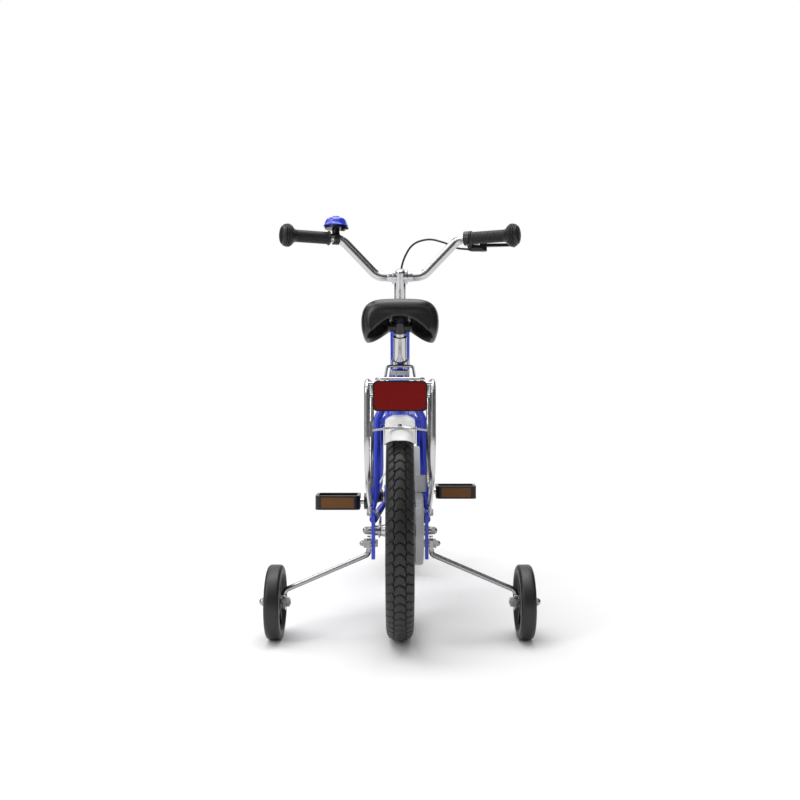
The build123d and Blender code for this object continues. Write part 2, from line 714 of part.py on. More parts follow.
def build_chain_case():
    body = plate(hull_outline(CASE_REAR_RADIUS, CASE_FRONT_RADIUS), CASE_INNER, CASE_OUTER)
    body = fillet(body.faces().sort_by(Axis.X)[-1].edges(), CASE_EDGE)
    hollow = plate(hull_outline(CASE_REAR_RADIUS - CASE_WALL, CASE_FRONT_RADIUS - CASE_WALL),
                   CASE_INNER - 1, CASE_OUTER - CASE_WALL)
    hollow = fillet(hollow.faces().sort_by(Axis.X)[-1].edges(), CASE_EDGE - CASE_WALL)
    body -= hollow
    stay = seat_stay_route()
    lean = (stay[1] - stay[0]).normalized()
    middle_height = (CASE_CLAMP_LOW + CASE_CLAMP_HIGH) / 2
    middle = stay[0] + lean * ((middle_height - stay[0].Z) / lean.Z)
    width = RACK_HALF - RACK_RADIUS - GAP - CASE_INNER
    block = Pos(CASE_INNER + width / 2, middle.Y - 4, middle_height) * Box(
        width, 34, CASE_CLAMP_HIGH - CASE_CLAMP_LOW)
    block = fillet(block.edges().filter_by(Axis.Z), 4)
    inside = plate(hull_outline(CASE_REAR_RADIUS - CASE_WALL, CASE_FRONT_RADIUS - CASE_WALL),
                   CASE_INNER - 1, CASE_OUTER - CASE_WALL)
    body += block - inside
    body -= rod(stay[0] - lean * 60, stay[0] + lean * 120, SEAT_STAY_RADIUS + FIT)
    body -= across(CASE_INNER, CASE_OUTER + 1, CRANK_BOSS_RADIUS + 3, BRACKET)
    body -= across(CASE_INNER, CASE_OUTER + 1, 17, REAR_AXLE)
    body -= chainstay_tube(room=1.2)
    back = Pos(CASE_OUTER, REAR_Y + 12, CHAINSTAY_HEIGHT) * Box(16, 60, 2 * CHAINSTAY_RADIUS + 2.4)
    body -= back
    save("chain_case", largest(body))


def build_frame():
    low, high = steer_point(0, 0, HEAD_TUBE_LOW), steer_point(0, 0, HEAD_TOP)
    head_outer = rod(low, high, HEAD_TUBE_RADIUS)
    save("head_tube", head_outer - rod(low - STEER_UP, high + STEER_UP, HEAD_TUBE_BORE))
    shell_outer = across(-SHELL_HALF_WIDTH, SHELL_HALF_WIDTH, SHELL_RADIUS, BRACKET)
    save("bottom_bracket_shell",
         shell_outer - across(-SHELL_HALF_WIDTH - 1, SHELL_HALF_WIDTH + 1, SHELL_BORE, BRACKET))
    top = seat_point(SEAT_TUBE_TOP)
    seat_outer = rod(BRACKET, top, SEAT_TUBE_RADIUS)
    seat_bore = rod(BRACKET + SEAT_UP * (SHELL_RADIUS + 8), top + SEAT_UP, POST_RADIUS + FIT)
    save("seat_tube", seat_outer - shell_outer - seat_bore)
    joined = steer_point(0, 0, HEAD_TUBE_LOW + DOWN_TUBE_HEAD)
    down_outer = rod(BRACKET, joined, DOWN_TUBE_RADIUS)
    down = down_outer - rod(BRACKET, joined, DOWN_TUBE_RADIUS - TUBE_WALL)
    ends = seat_point(TOP_TUBE_SEAT_HEIGHT), steer_point(0, 0, HEAD_TUBE_LOW + TOP_TUBE_HEAD)
    upper = rod(*ends, TOP_TUBE_RADIUS) - rod(*ends, TOP_TUBE_RADIUS - TUBE_WALL)
    save("main_tubes", upper - head_outer - seat_outer, down - head_outer - shell_outer - seat_outer)
    ring_low = CHAIN_LINE - TOOTH_WIDTH / 2 - GAP
    ring_room = across(ring_low, ring_low + 12, RING_RADIUS + CHAIN_PITCH / 2, BRACKET)
    chainstay = chainstay_tube() - shell_outer - ring_room
    drop = plate(dropout_outline(), DROPOUT_INNER, DROPOUT_OUTER)
    chainstay -= drop
    chainstay = largest(chainstay)
    stay = seat_stay() - seat_outer
    stay = largest(stay)
    bridge_up = GUARD_RADIUS + BRIDGE_RADIUS + GAP
    route = seat_stay_route()
    lean = (route[1] - route[0]).normalized()
    offset = route[0] - REAR_AXLE
    across_axis = Vector(0, offset.Y, offset.Z)
    along = -across_axis.dot(lean) + sqrt(across_axis.dot(lean) ** 2 - across_axis.length ** 2 + bridge_up ** 2)
    bridge_centre = Vector(0, route[0].Y, route[0].Z) + lean * along
    bridge = across(-SEAT_STAY_HALF, SEAT_STAY_HALF, BRIDGE_RADIUS, bridge_centre)
    bridge = bridge - stay - other_side(stay)
    bridge = largest(bridge)
    save("rear_stays", chainstay, other_side(chainstay), stay, other_side(stay), bridge)
    save("dropouts", drop, other_side(drop))
    cups = []
    for base, way in ((HEAD_TUBE_LOW, -1), (HEAD_TOP, 1)):
        start, end = sorted((base + way * SEAT, base + way * (CUP_HEIGHT - GAP)))
        cup = Pos(0, 0, (start + end) / 2) * Cylinder(CUP_RADIUS, end - start)
        cup -= Pos(0, 0, (start + end) / 2) * Cylinder(STEERER_RADIUS + FIT, end - start + 2)
        cups.append(steered(cup))
    for side, face in ((-1, LEFT_BOSS_INNER), (1, CHAIN_LINE - TOOTH_WIDTH / 2)):
        start, end = sorted((side * (SHELL_HALF_WIDTH - 10), side * (face - GAP)))
        cups.append(across(start, end, SHELL_BORE - SEAT, BRACKET)
                    - across(start - 1, end + 1, SPINDLE_RADIUS + FIT, BRACKET))
    save("bearing_cups", *cups)


def dropout_outline():
    """The dropout plate, with an open slot for the axle and two round holes."""
    half = DROPOUT_DEPTH / 2
    middle_z = (DROPOUT_LOW + DROPOUT_HIGH) / 2
    body = Pos(REAR_Y, middle_z) * RectangleRounded(DROPOUT_DEPTH, DROPOUT_HIGH - DROPOUT_LOW, 10)
    body += Pos(REAR_Y + half, CHAINSTAY_HEIGHT) * RectangleRounded(30, 20, 6)
    body -= Pos(REAR_Y, WHEEL_RADIUS) * Circle(REAR_AXLE_RADIUS + SEAT)
    width = 2 * (REAR_AXLE_RADIUS + SEAT)
    body -= Pos(REAR_Y + half / 2 + 4, WHEEL_RADIUS - 2) * Rot(0, 0, -14) * Rectangle(half + 10, width)
    body -= Pos(REAR_Y + RACK_BOLT_Y, RACK_BOLT_Z) * Circle(3)
    return body - Pos(REAR_Y + TRAINING_Y, TRAINING_BOLT_Z) * Circle(4)


def build_seat():
    top = seat_point(SEAT_TUBE_TOP)
    low = top - SEAT_UP * POST_INSIDE
    neck = seat_point(POST_NECK_HEIGHT)
    peak = seat_point(POST_TOP)
    save("seat_post", rod(low, neck, POST_RADIUS) + rod(neck, peak, POST_NECK_RADIUS))
    ring_low = top - SEAT_UP * (COLLAR_LENGTH - 1)
    ring = rod(ring_low, top + SEAT_UP, COLLAR_RADIUS)
    ring -= rod(ring_low - SEAT_UP, top + SEAT_UP * 2, SEAT_TUBE_RADIUS + SEAT)
    frame = Plane(origin=ring_low, x_dir=(1, 0, 0), z_dir=SEAT_UP)
    slot = frame.location * Pos(0, -COLLAR_RADIUS, COLLAR_LENGTH / 2) * Box(COLLAR_SLOT, 2 * 8, 2 * COLLAR_LENGTH)
    lug = frame.location * Pos(0, COLLAR_RADIUS + 3, COLLAR_LENGTH / 2) * Box(16, 10, COLLAR_LENGTH - 2)
    lug -= rod(ring_low, top + SEAT_UP, SEAT_TUBE_RADIUS + SEAT)
    screw = frame.location * Pos(0, COLLAR_RADIUS + 5, COLLAR_LENGTH / 2) * Rot(0, 90, 0) * Cylinder(3, 24)
    save("seat_collar", ring - slot + lug + screw)
    rails = build_saddle()
    middle = seat_point(CLAMP_HEIGHT)
    clamp = across(-RAIL_HALF - 2.5, RAIL_HALF + 2.5, 11, middle)
    clamp += rod(middle - SEAT_UP * 12, middle + SEAT_UP * 10, POST_NECK_RADIUS + 3.5)
    clamp += across(-CLAMP_BOLT_HALF, CLAMP_BOLT_HALF, CLAMP_NUT_RADIUS, middle)
    clamp -= rod(low, peak + SEAT_UP * 2, POST_NECK_RADIUS + SEAT)
    for side in (-1, 1):
        clamp -= rod(Vector(side * RAIL_HALF, middle.Y - 30, middle.Z + 9),
                     Vector(side * RAIL_HALF, middle.Y + 30, middle.Z + 9), RAIL_RADIUS + SEAT)
    clamp -= rod(neck - SEAT_UP * 20, neck + SEAT_UP * SEAT, POST_RADIUS + SEAT)
    save("saddle_clamp", largest(clamp), *rails)


def saddle_section(y, half, top, low, inset):
    """One upright section of the saddle: crowned top, round shoulders and side skirts."""
    w, t, b = half - inset, top - inset, low
    shoulder = min(16, w * 0.45)
    crown = 0.05 * w
    points = [(-w * 0.86, b), (-w, t - crown - shoulder), (-w + shoulder, t - crown), (w - shoulder, t - crown),
              (w, t - crown - shoulder), (w * 0.86, b)]
    bow = shoulder * (1 - sqrt(0.5))
    edges = [
        Line(points[0], points[1]),
        ThreePointArc(points[1], (-w + bow, t - crown - bow), points[2]),
        ThreePointArc(points[2], (0, t), points[3]),
        ThreePointArc(points[3], (w - bow, t - crown - bow), points[4]),
        Line(points[4], points[5]),
        Line(points[5], points[0]),
    ]
    return Plane(origin=(0, y, 0), x_dir=(1, 0, 0), z_dir=(0, -1, 0)) * make_face(edges)


def build_saddle():
    rear = REAR_Y
    half = SADDLE_WIDTH / 2
    long = SADDLE_LENGTH
    stations = [
        (0.0, 0.80, -14, 16), (0.06, 0.97, -2, 4), (0.25, 1.0, 0, 0), (0.45, 0.80, -3, 3),
        (0.65, 0.46, -6, 14), (0.85, 0.28, -9, 20), (1.0, 0.18, -18, 32),
    ]

    def body(inset, drop, trim):
        sections = []
        for share, width, top, low in stations:
            y = rear + trim + share * (long - 2 * trim)
            sections.append(saddle_section(y, half * width, SADDLE_TOP + top - drop, SADDLE_LOW + low, inset))
        return sections

    outer = loft(body(0, 0, 0))
    hollow = loft([Pos(0, 0, -1) * section for section in body(SADDLE_WALL, SADDLE_ROOF - SADDLE_WALL, SADDLE_WALL)])
    cushion = outer - hollow
    arch = Pos(0, rear, SADDLE_LOW + 8) * Rot(90, 0, 0) * extrude(Ellipse(46, 44), amount=30, both=True)
    cushion -= arch
    cushion = largest(cushion)
    save("saddle", cushion)
    middle = seat_point(CLAMP_HEIGHT) + Vector(0, 0, 9)
    front, back = rear + long * 0.82, rear + long * 0.1
    roof = SADDLE_TOP - SADDLE_ROOF - 6
    rails = []
    for side in (-1, 1):
        x = side * RAIL_HALF
        points = [(x, back, roof), (x, back + 22, middle.Z), (x, front - 60, middle.Z), (x * 0.5, front, roof - 6)]
        rail = bent(points, [12, 30], RAIL_RADIUS) - cushion
        rails.append(largest(rail))
    return rails


def build_steering():
    crown_middle = CROWN_LOW + CROWN_HEIGHT / 2
    body = Pos(0, 0, crown_middle) * fillet(Box(76, CROWN_DEPTH, CROWN_HEIGHT).edges().filter_by(Axis.Z), 9)
    body += Pos(0, 0, (CROWN_LOW + STEERER_TOP) / 2) * Cylinder(STEERER_RADIUS, STEERER_TOP - CROWN_LOW)
    body += Pos(0, 0, (CROWN_LOW + CROWN_HEIGHT + HEAD_TUBE_LOW - CUP_HEIGHT) / 2) * Cylinder(
        20, HEAD_TUBE_LOW - CUP_HEIGHT - CROWN_LOW - CROWN_HEIGHT)
    nut = extrude(Pos(0, 0, HEAD_TOP + CUP_HEIGHT) * RegularPolygon(LOCKNUT_RADIUS, 6),
                  amount=LOCKNUT_HEIGHT)
    body += nut
    quill_low = STEERER_TOP - QUILL_DEPTH
    body -= Pos(0, 0, (quill_low - 5 + STEERER_TOP) / 2 + 2) * Cylinder(STEERER_BORE, STEERER_TOP - quill_low + 9)
    straight_low = 78.0
    upper = bent([(30, 0, CROWN_LOW + 14), (LEG_HALF, 0, CROWN_LOW - 8), (LEG_HALF, 0, straight_low)],
                 [16], LEG_RADIUS)
    ends = []
    for up, ahead, radius, x in ((straight_low, 0, LEG_RADIUS, LEG_HALF), (45, 4.5, 8.7, LEG_HALF + 0.6),
                                 (16, 15.5, 7.6, LEG_HALF + 1.5),
                                 (STEER_AXLE_UP + 13, FORK_OFFSET - 8, LEG_TIP_RADIUS, LEG_HALF + 2.2)):
        slope = Vector(0, -(straight_low - up) / 105, 1)
        ends.append(Plane(origin=(x, ahead, up), x_dir=(1, 0, 0), z_dir=slope) * Circle(radius))
    leg = upper + loft(ends[::-1])
    end_middle = FORK_END_INNER + FORK_END_THICKNESS / 2
    tab = Pos(FORK_END_INNER, FORK_OFFSET, STEER_AXLE_UP + 2) * Rot(0, 90, 0) * extrude(
        RectangleRounded(34, 22, 8), amount=FORK_END_THICKNESS)
    leg += tab
    axle_at = Pos(end_middle, FORK_OFFSET, STEER_AXLE_UP)
    leg -= axle_at * Rot(0, 90, 0) * Cylinder(FRONT_AXLE_RADIUS + SEAT, 3 * FORK_END_THICKNESS + 8)
    leg -= axle_at * Pos(0, 0, -12) * Box(3 * FORK_END_THICKNESS, 2 * FRONT_AXLE_RADIUS + 2 * SEAT, 24)
    body += leg + other_side(leg)
    body -= Pos(0, CROWN_DEPTH / 2, PIVOT_HEIGHT) * Rot(90, 0, 0) * Cylinder(3 + SEAT, 3 * CROWN_DEPTH)
    save("fork", steered(body))
    axle_low = FORK_END_INNER + FORK_END_THICKNESS + 14.5
    stub_end = axle_low + AXLE_STUB_LENGTH
    shaft = across(-axle_low, axle_low, FRONT_AXLE_RADIUS, FRONT_AXLE)
    shaft += across(-stub_end, stub_end, AXLE_STUB_RADIUS, FRONT_AXLE)
    shaft_nuts = []
    for side in (-1, 1):
        outer = side * (FORK_END_INNER + FORK_END_THICKNESS + SEAT)
        nut = hexagon(min(outer, outer + side * 8), max(outer, outer + side * 8), 15, FRONT_AXLE)
        cone_out, cone_in = side * (FORK_END_INNER - SEAT), side * (FORK_END_INNER - 5.5)
        cone = across(min(cone_in, cone_out), max(cone_in, cone_out), 8.5, FRONT_AXLE)
        far = outer + side * 10.8
        lock = hexagon(min(far, far + side * 3.5), max(far, far + side * 3.5), 13, FRONT_AXLE)
        for piece in (nut, cone, lock):
            shaft_nuts.append(piece - across(-90, 90, FRONT_AXLE_RADIUS + SEAT, FRONT_AXLE))
    save("front_axle", shaft, *shaft_nuts)
    build_stem_and_bar()


def build_stem_and_bar():
    centre = bar_points()[0]
    quill_top = STEERER_TOP + 2
    quill = Pos(0, 0, quill_top - QUILL_DEPTH / 2) * Cylinder(QUILL_RADIUS, QUILL_DEPTH)
    post_low = STEERER_TOP + SEAT
    post = Pos(0, 0, (post_low + BAR_UP) / 2) * Cylinder(STEM_RADIUS, BAR_UP - post_low)
    post += Pos(0, 0, BAR_UP) * Rot(0, 90, 0) * Cylinder(STEM_CLAMP_RADIUS, STEM_CLAMP_WIDTH)
    for up in (-15, 15):
        post += Pos(0, STEM_CLAMP_RADIUS - 4, BAR_UP + up) * Box(STEM_CLAMP_WIDTH, 16, 8)
    post -= Pos(0, STEM_CLAMP_RADIUS + 2, BAR_UP) * Box(STEM_CLAMP_WIDTH + 2, 20, 3)
    post += quill
    post -= Pos(0, 0, BAR_UP) * Rot(0, 90, 0) * Cylinder(BAR_BULGE_RADIUS + SEAT, STEM_CLAMP_WIDTH + 2)
    save("stem", steered(post))
    bar = bar_tube(BAR_RADIUS) + across(-BAR_BULGE_HALF, BAR_BULGE_HALF, BAR_BULGE_RADIUS, centre)
    save("handlebar", bar - bar_tube(BAR_RADIUS - BAR_WALL))
    start = BAR_LEG - GRIP_LENGTH + 4
    profile = make_face([
        Line((BAR_RADIUS + SEAT, 0), (17, 0)), Line((17, 0), (17, 3.5)), Line((17, 3.5), (GRIP_RADIUS, 5)),
        Line((GRIP_RADIUS, 5), (GRIP_RADIUS, GRIP_LENGTH - 34)),
        ThreePointArc((GRIP_RADIUS, GRIP_LENGTH - 34), (GRIP_RADIUS + 2.4, GRIP_LENGTH - 27),
                      (GRIP_END_RADIUS - 1, GRIP_LENGTH - 19)),
        Line((GRIP_END_RADIUS - 1, GRIP_LENGTH - 19), (GRIP_END_RADIUS, GRIP_LENGTH - 17)),
        Line((GRIP_END_RADIUS, GRIP_LENGTH - 17), (GRIP_END_RADIUS, GRIP_LENGTH - 5)),
        ThreePointArc((GRIP_END_RADIUS, GRIP_LENGTH - 5), (GRIP_END_RADIUS - 3, GRIP_LENGTH - 1.5),
                      (GRIP_END_RADIUS - 7, GRIP_LENGTH)),
        cap_arc(GRIP_END_RADIUS - 7, 4, GRIP_LENGTH, upright=True),
        Line((0, GRIP_LENGTH + 4), (0, GRIP_LENGTH - 3)),
        Line((0, GRIP_LENGTH - 3), (BAR_RADIUS + SEAT, GRIP_LENGTH - 3)),
        Line((BAR_RADIUS + SEAT, GRIP_LENGTH - 3), (BAR_RADIUS + SEAT, 0)),
    ])
    grip = revolve(Plane.XZ * profile, Axis.Z)
    for k in range(4):
        place = GRIP_LENGTH - 15.2 + k * 2.8
        ring = Pos(0, 0, place) * (Cylinder(GRIP_END_RADIUS + 1, 1.1) - Cylinder(GRIP_END_RADIUS - 1.4, 3))
        grip -= ring
    save("grips", *[grip_plane(start, side).location * grip for side in (-1, 1)])


def build_brake():
    clamp_plane = grip_plane(LEVER_CLAMP_PLACE)
    bracket = clamp_plane.location * Cylinder(LEVER_CLAMP_RADIUS, LEVER_CLAMP_WIDTH)
    low, high = bar_place(LEVER_CLAMP_PLACE + 2, 16, -LEVER_DROP - 6), bar_place(
        LEVER_PIVOT_PLACE - 2, LEVER_PIVOT_REACH - 3, -LEVER_DROP - 6)
    nose = rod(low, high, 9)
    bracket += nose + rod(bar_place(LEVER_CLAMP_PLACE, 10, -6), low, 8)
    pivot = bar_place(LEVER_PIVOT_PLACE, LEVER_PIVOT_REACH, -LEVER_DROP)
    bracket += rod(pivot - Vector(0, 0, 14), pivot + Vector(0, 0, 8), 9)
    tip = bar_place(LEVER_TIP_PLACE, LEVER_TIP_REACH, -LEVER_DROP)
    bracket -= rod(pivot - Vector(0, 0, 4.5), pivot + Vector(0, 0, 4.5), 13)
    pin = rod(pivot - Vector(0, 0, 14), pivot + Vector(0, 0, 8), 2.5)
    bracket += pin
    cable_start = bar_place(LEVER_CLAMP_PLACE - 6, 22, -LEVER_DROP - 8)
    bracket += rod(cable_start, cable_start - CABLE_AWAY * 16, 4)
    bracket -= bar_tube(BAR_RADIUS + SEAT)
    bracket -= grip_plane(BAR_LEG - GRIP_LENGTH + 4 + 20).location * Cylinder(17.3, 42)
    save("brake_lever_clamp", largest(bracket))
    line = (tip - pivot).normalized()
    blade_frame = Plane(origin=pivot, x_dir=line, z_dir=(0, 0, 1))
    blade = extrude(Pos(0, 0, -4) * Circle(8.5), amount=8)
    length = (tip - pivot).length
    outline = make_face([
        Line((0, -7), (length, -3)), ThreePointArc((length, -3), (length + 3, 0), (length, 3)),
        Line((length, 3), (0, 7)), Line((0, 7), (0, -7)),
    ])
    blade += extrude(Pos(0, 0, -3.5) * outline, amount=7)
    blade += Pos(length, 0, 0) * Sphere(6)
    blade -= Cylinder(2.5 + FIT, 30)
    save("brake_lever", blade_frame.location * blade)
    return cable_start + CABLE_AWAY * SEAT


def build_caliper():
    ahead = CROWN_DEPTH / 2 + 4
    pivot_up = PIVOT_HEIGHT
    front = ahead + 2 * (ARM_THICKNESS + GAP)
    bolt = rod((0, -CROWN_DEPTH / 2 - 9, pivot_up), (0, front + 6, pivot_up), 3)
    bolt += rod((0, front, pivot_up), (0, front + 4, pivot_up), 6)
    bolt += rod((0, CROWN_DEPTH / 2 + SEAT, pivot_up), (0, ahead - GAP, pivot_up), 8)
    bolt += rod((0, -CROWN_DEPTH / 2 - 6, pivot_up), (0, -CROWN_DEPTH / 2 - SEAT, pivot_up), 6)
    save("caliper_bolt", steered(bolt))
    start = CROWN_DEPTH / 2 + 4
    pad_up = STEER_AXLE_UP + PAD_RADIUS
    for name, side, layer, lift in (("caliper_arm_left", -1, 0, 16), ("caliper_arm_right", 1, 1, -6)):
        near = start + layer * (ARM_THICKNESS + GAP)
        x = side * ARM_HALF
        route = Polyline((-30, pivot_up + lift), (0, pivot_up), (x * 0.72, pivot_up - 4), (x, pivot_up - 26),
                         (x, pad_up - 8))
        strip = trace(route, line_width=11) + Pos(0, pivot_up) * Circle(9) + Pos(-30, pivot_up + lift) * Circle(7)
        strip = Plane.XZ * strip
        arm = Pos(0, near + ARM_THICKNESS, 0) * extrude(strip, amount=ARM_THICKNESS)
        arm -= Pos(0, near, pivot_up) * Rot(90, 0, 0) * Cylinder(3 + FIT, 40)
        inner = RIM_WIDTH / 2 + PAD_GAP
        holder = Pos(side * (inner + (ARM_HALF + 4 - inner) / 2), near + ARM_THICKNESS / 2, pad_up) * Rot(
            0, 90, 0) * Cylinder(3.2, ARM_HALF + 4 - inner - 2)
        pad = Pos(side * (inner + 4), FORK_OFFSET - 4, pad_up) * Box(8, PAD_LENGTH, PAD_HEIGHT)
        pad = fillet(pad.edges().filter_by(Axis.X), 3)
        save(name, steered(arm + holder + pad))


def build_cable(start):
    top = STEER_FOOT.Y + STEER_UP.Y * BAR_UP
    anchor = steer_point(-30, CROWN_DEPTH / 2 + 4 + ARM_THICKNESS / 2, PIVOT_HEIGHT + 23.2)
    points = [
        start, start + CABLE_AWAY * 30, Vector(114, top + 40, 826), Vector(72, top + 62, 842), Vector(30, top + 76, 832),
        Vector(6, top + 84, 790), Vector(-2, top + 92, 732), Vector(-6, top + 104, 672),
        Vector(-10, top + 120, 612), Vector(-18, top + 138, 556), anchor + STEER_UP * 44, anchor,
    ]
    runs = [(points[i + 1] - points[i]).length for i in range(len(points) - 1)]
    radii = []
    for i in range(1, len(points) - 1):
        turn = radians((points[i] - points[i - 1]).get_angle(points[i + 1] - points[i]))
        radii.append(0.45 * min(runs[i - 1], runs[i]) / tan(turn / 2))
    print("cable bend radii:", [round(r) for r in radii])
    save("brake_cable", bent(points, radii, CABLE_RADIUS))


def build_bell():
    seat = grip_plane(BELL_PLACE, -1)
    axis = seat.origin
    strap = seat.location * (Cylinder(BAR_RADIUS + 3.5, 13) - Cylinder(BAR_RADIUS + SEAT, 20))
    base_low, base_high = axis.Z + BAR_RADIUS + 2, BELL_TOP - BELL_HEIGHT - 1
    column = rod((axis.X, axis.Y, base_low), (axis.X, axis.Y, base_high), 9)
    tray = rod((axis.X, axis.Y, base_high - 4.5), (axis.X, axis.Y, base_high), BELL_RADIUS - 3)
    post = rod((axis.X, axis.Y, base_high), (axis.X, axis.Y, BELL_TOP - 5), 2.5)
    base = strap + column + tray + post - bar_tube(BAR_RADIUS + SEAT)
    lever_at = Vector(axis.X + BELL_RADIUS - 12, axis.Y - 10, base_high)
    slot = rod((lever_at.X, lever_at.Y, base_high - 10), (lever_at.X, lever_at.Y, base_high + 1), 2 + FIT)
    save("bell_base", base - slot)
    lever = rod((lever_at.X, lever_at.Y, base_high - 11), (lever_at.X, lever_at.Y, base_high - 0.2), 2)
    lever += rod((lever_at.X, lever_at.Y, base_high - 11), (lever_at.X, lever_at.Y, base_high - 4.5 - GAP), 4.5)
    blade = Pos(lever_at.X + 5, lever_at.Y - 9, base_high - 8) * Rot(0, 0, -60) * Box(24, 8, 4)
    save("bell_lever", lever + blade)
    r, h, w = BELL_RADIUS, BELL_HEIGHT, BELL_WALL
    profile = make_face([
        Line((r, 0), (r, 3)), ThreePointArc((r, 3), (r * 0.83, h * 0.62), (15, h - 5)), Line((15, h - 5), (15, h - 2)),
        cap_arc(15, 2, h - 2, upright=True), Line((0, h), (0, h - 4 - w)),
        Line((0, h - 4 - w), (15 - w, h - 5 - w)),
        ThreePointArc((15 - w, h - 5 - w), (r * 0.83 - w, h * 0.62 - w), (r - w, 3)),
        Line((r - w, 3), (r - w, 0)), Line((r - w, 0), (r, 0)),
    ])
    shell = Pos(axis.X, axis.Y, BELL_TOP - BELL_HEIGHT) * revolve(Plane.XZ * profile, Axis.Z)
    save("bell_dome", shell - rod((axis.X, axis.Y, base_high), (axis.X, axis.Y, BELL_TOP - 5 + SEAT), 2.5 + SEAT))


def mudguard(centre, start, end):
    """A thin crowned strip over part of the wheel, its angles counted up from straight ahead."""
    half, r, d, w = GUARD_HALF, GUARD_RADIUS, GUARD_DROP, GUARD_WALL
    profile = make_face([
        ThreePointArc((-half, r - d), (-half * 0.62, r - d * 0.24), (0, r)),
        ThreePointArc((0, r), (half * 0.62, r - d * 0.24), (half, r - d)),
        Line((half, r - d), (half - w, r - d)),
        ThreePointArc((half - w, r - d), (half * 0.6, r - w - d * 0.22), (0, r - w)),
        ThreePointArc((0, r - w), (-half * 0.6, r - w - d * 0.22), (w - half, r - d)),
        Line((w - half, r - d), (-half, r - d)),
    ])
    strip = revolve(profile, Axis.X, revolution_arc=end - start)
    return Pos(0, centre.Y, centre.Z) * Rot(start, 0, 0) * strip


def on_wheel(centre, angle, radius, x=0):
    """A point beside a wheel's rim line, its angle counted up from straight ahead."""
    return Vector(x, centre.Y + radius * cos(radians(angle)), centre.Z + radius * sin(radians(angle)))


def build_guards():
    save("rear_mudguard", mudguard(REAR_AXLE, REAR_GUARD_START, REAR_GUARD_END))
    save("front_mudguard", mudguard(FRONT_AXLE, FRONT_GUARD_START, FRONT_GUARD_END))
    rest = GUARD_RADIUS + GUARD_STAY_RADIUS + GAP
    crest = on_wheel(REAR_AXLE, 116, rest)
    ends = Vector(RACK_HALF - RACK_RADIUS - GUARD_STAY_RADIUS - SEAT, REAR_Y - 184, 393)
    sides = on_wheel(REAR_AXLE, 119, rest + 3, 26)
    points = [Vector(ends.X, ends.Y, ends.Z), sides, crest, Vector(-sides.X, sides.Y, sides.Z),
              Vector(-ends.X, ends.Y, ends.Z)]
    wire = bent(points, [20, 20, 20], GUARD_STAY_RADIUS)
    outward = (crest - REAR_AXLE).normalized()
    screw = rod(crest - outward * 2, crest + outward * 4, 3.6)
    tabs = []
    for side in (-1, 1):
        tabs.append(Pos(side * (ends.X + 0.6), ends.Y, ends.Z + 3) * Box(2.6, 8, 26))
    save("mudguard_stay", (wire + screw).fuse(*tabs))
    wires = []
    for side in (-1, 1):
        face = FORK_END_INNER + FORK_END_THICKNESS + 8.1
        eye = Vector(side * (face + GUARD_STAY_RADIUS + SEAT), FRONT_Y, WHEEL_RADIUS)
        beside = side * (GUARD_HALF + GUARD_STAY_RADIUS + SEAT)
        fixed = on_wheel(FRONT_AXLE, 158, GUARD_RADIUS - GUARD_DROP + 2, beside)
        line = (fixed - eye).normalized()
        wire = rod(eye + line * 9.5, fixed + line * 4, GUARD_STAY_RADIUS)
        inner, outer = sorted((side * face, side * (face + 2.6)))
        ring = across(inner, outer, 10.5, FRONT_AXLE)
        ring -= across(inner - 1, outer + 1, FRONT_AXLE_RADIUS + SEAT, FRONT_AXLE)
        wires.append(wire + ring)
    save("front_mudguard_stay", *wires)


def rack_loop():
    """One side of the rack: a tube up from the dropout, back along the deck and curved down again."""
    front = Vector(RACK_HALF, REAR_Y + RACK_FRONT, RACK_HEIGHT)
    rear = Vector(RACK_HALF, REAR_Y - RACK_REAR, RACK_HEIGHT)
    heel = Vector(RACK_HALF, REAR_Y - RACK_REAR, 316)
    foot = Vector(RACK_HALF, REAR_Y - 46, 257)
    toe = Vector(RACK_HALF, REAR_Y + 9.5, 290)
    tube = bent([toe, front, rear, heel, foot], [22, 22, 100], RACK_RADIUS)
    bolt = (REAR_Y + RACK_BOLT_Y, RACK_BOLT_Z)
    flat = Pos(*bolt) * Circle(8)
    middle = (RACK_EYE_INNER + RACK_EYE_OUTER) / 2
    for end, before, reach in ((toe, front, 24), (foot, heel, 22)):
        line = (end - before).normalized()
        near = end + line * reach
        thin = Plane(origin=(middle, near.Y, near.Z), x_dir=(1, 0, 0), z_dir=line)
        round_end = Plane(origin=end, x_dir=(1, 0, 0), z_dir=line)
        section = RectangleRounded(RACK_EYE_OUTER - RACK_EYE_INNER, 12, 1)
        tube += loft([round_end * Circle(RACK_RADIUS), thin * section])
        strip = Line((near.Y, near.Z), bolt)
        flat += trace(strip, line_width=12)
    flat -= Pos(*bolt) * Circle(3 + SEAT)
    return tube + plate(flat, RACK_EYE_INNER, RACK_EYE_OUTER)


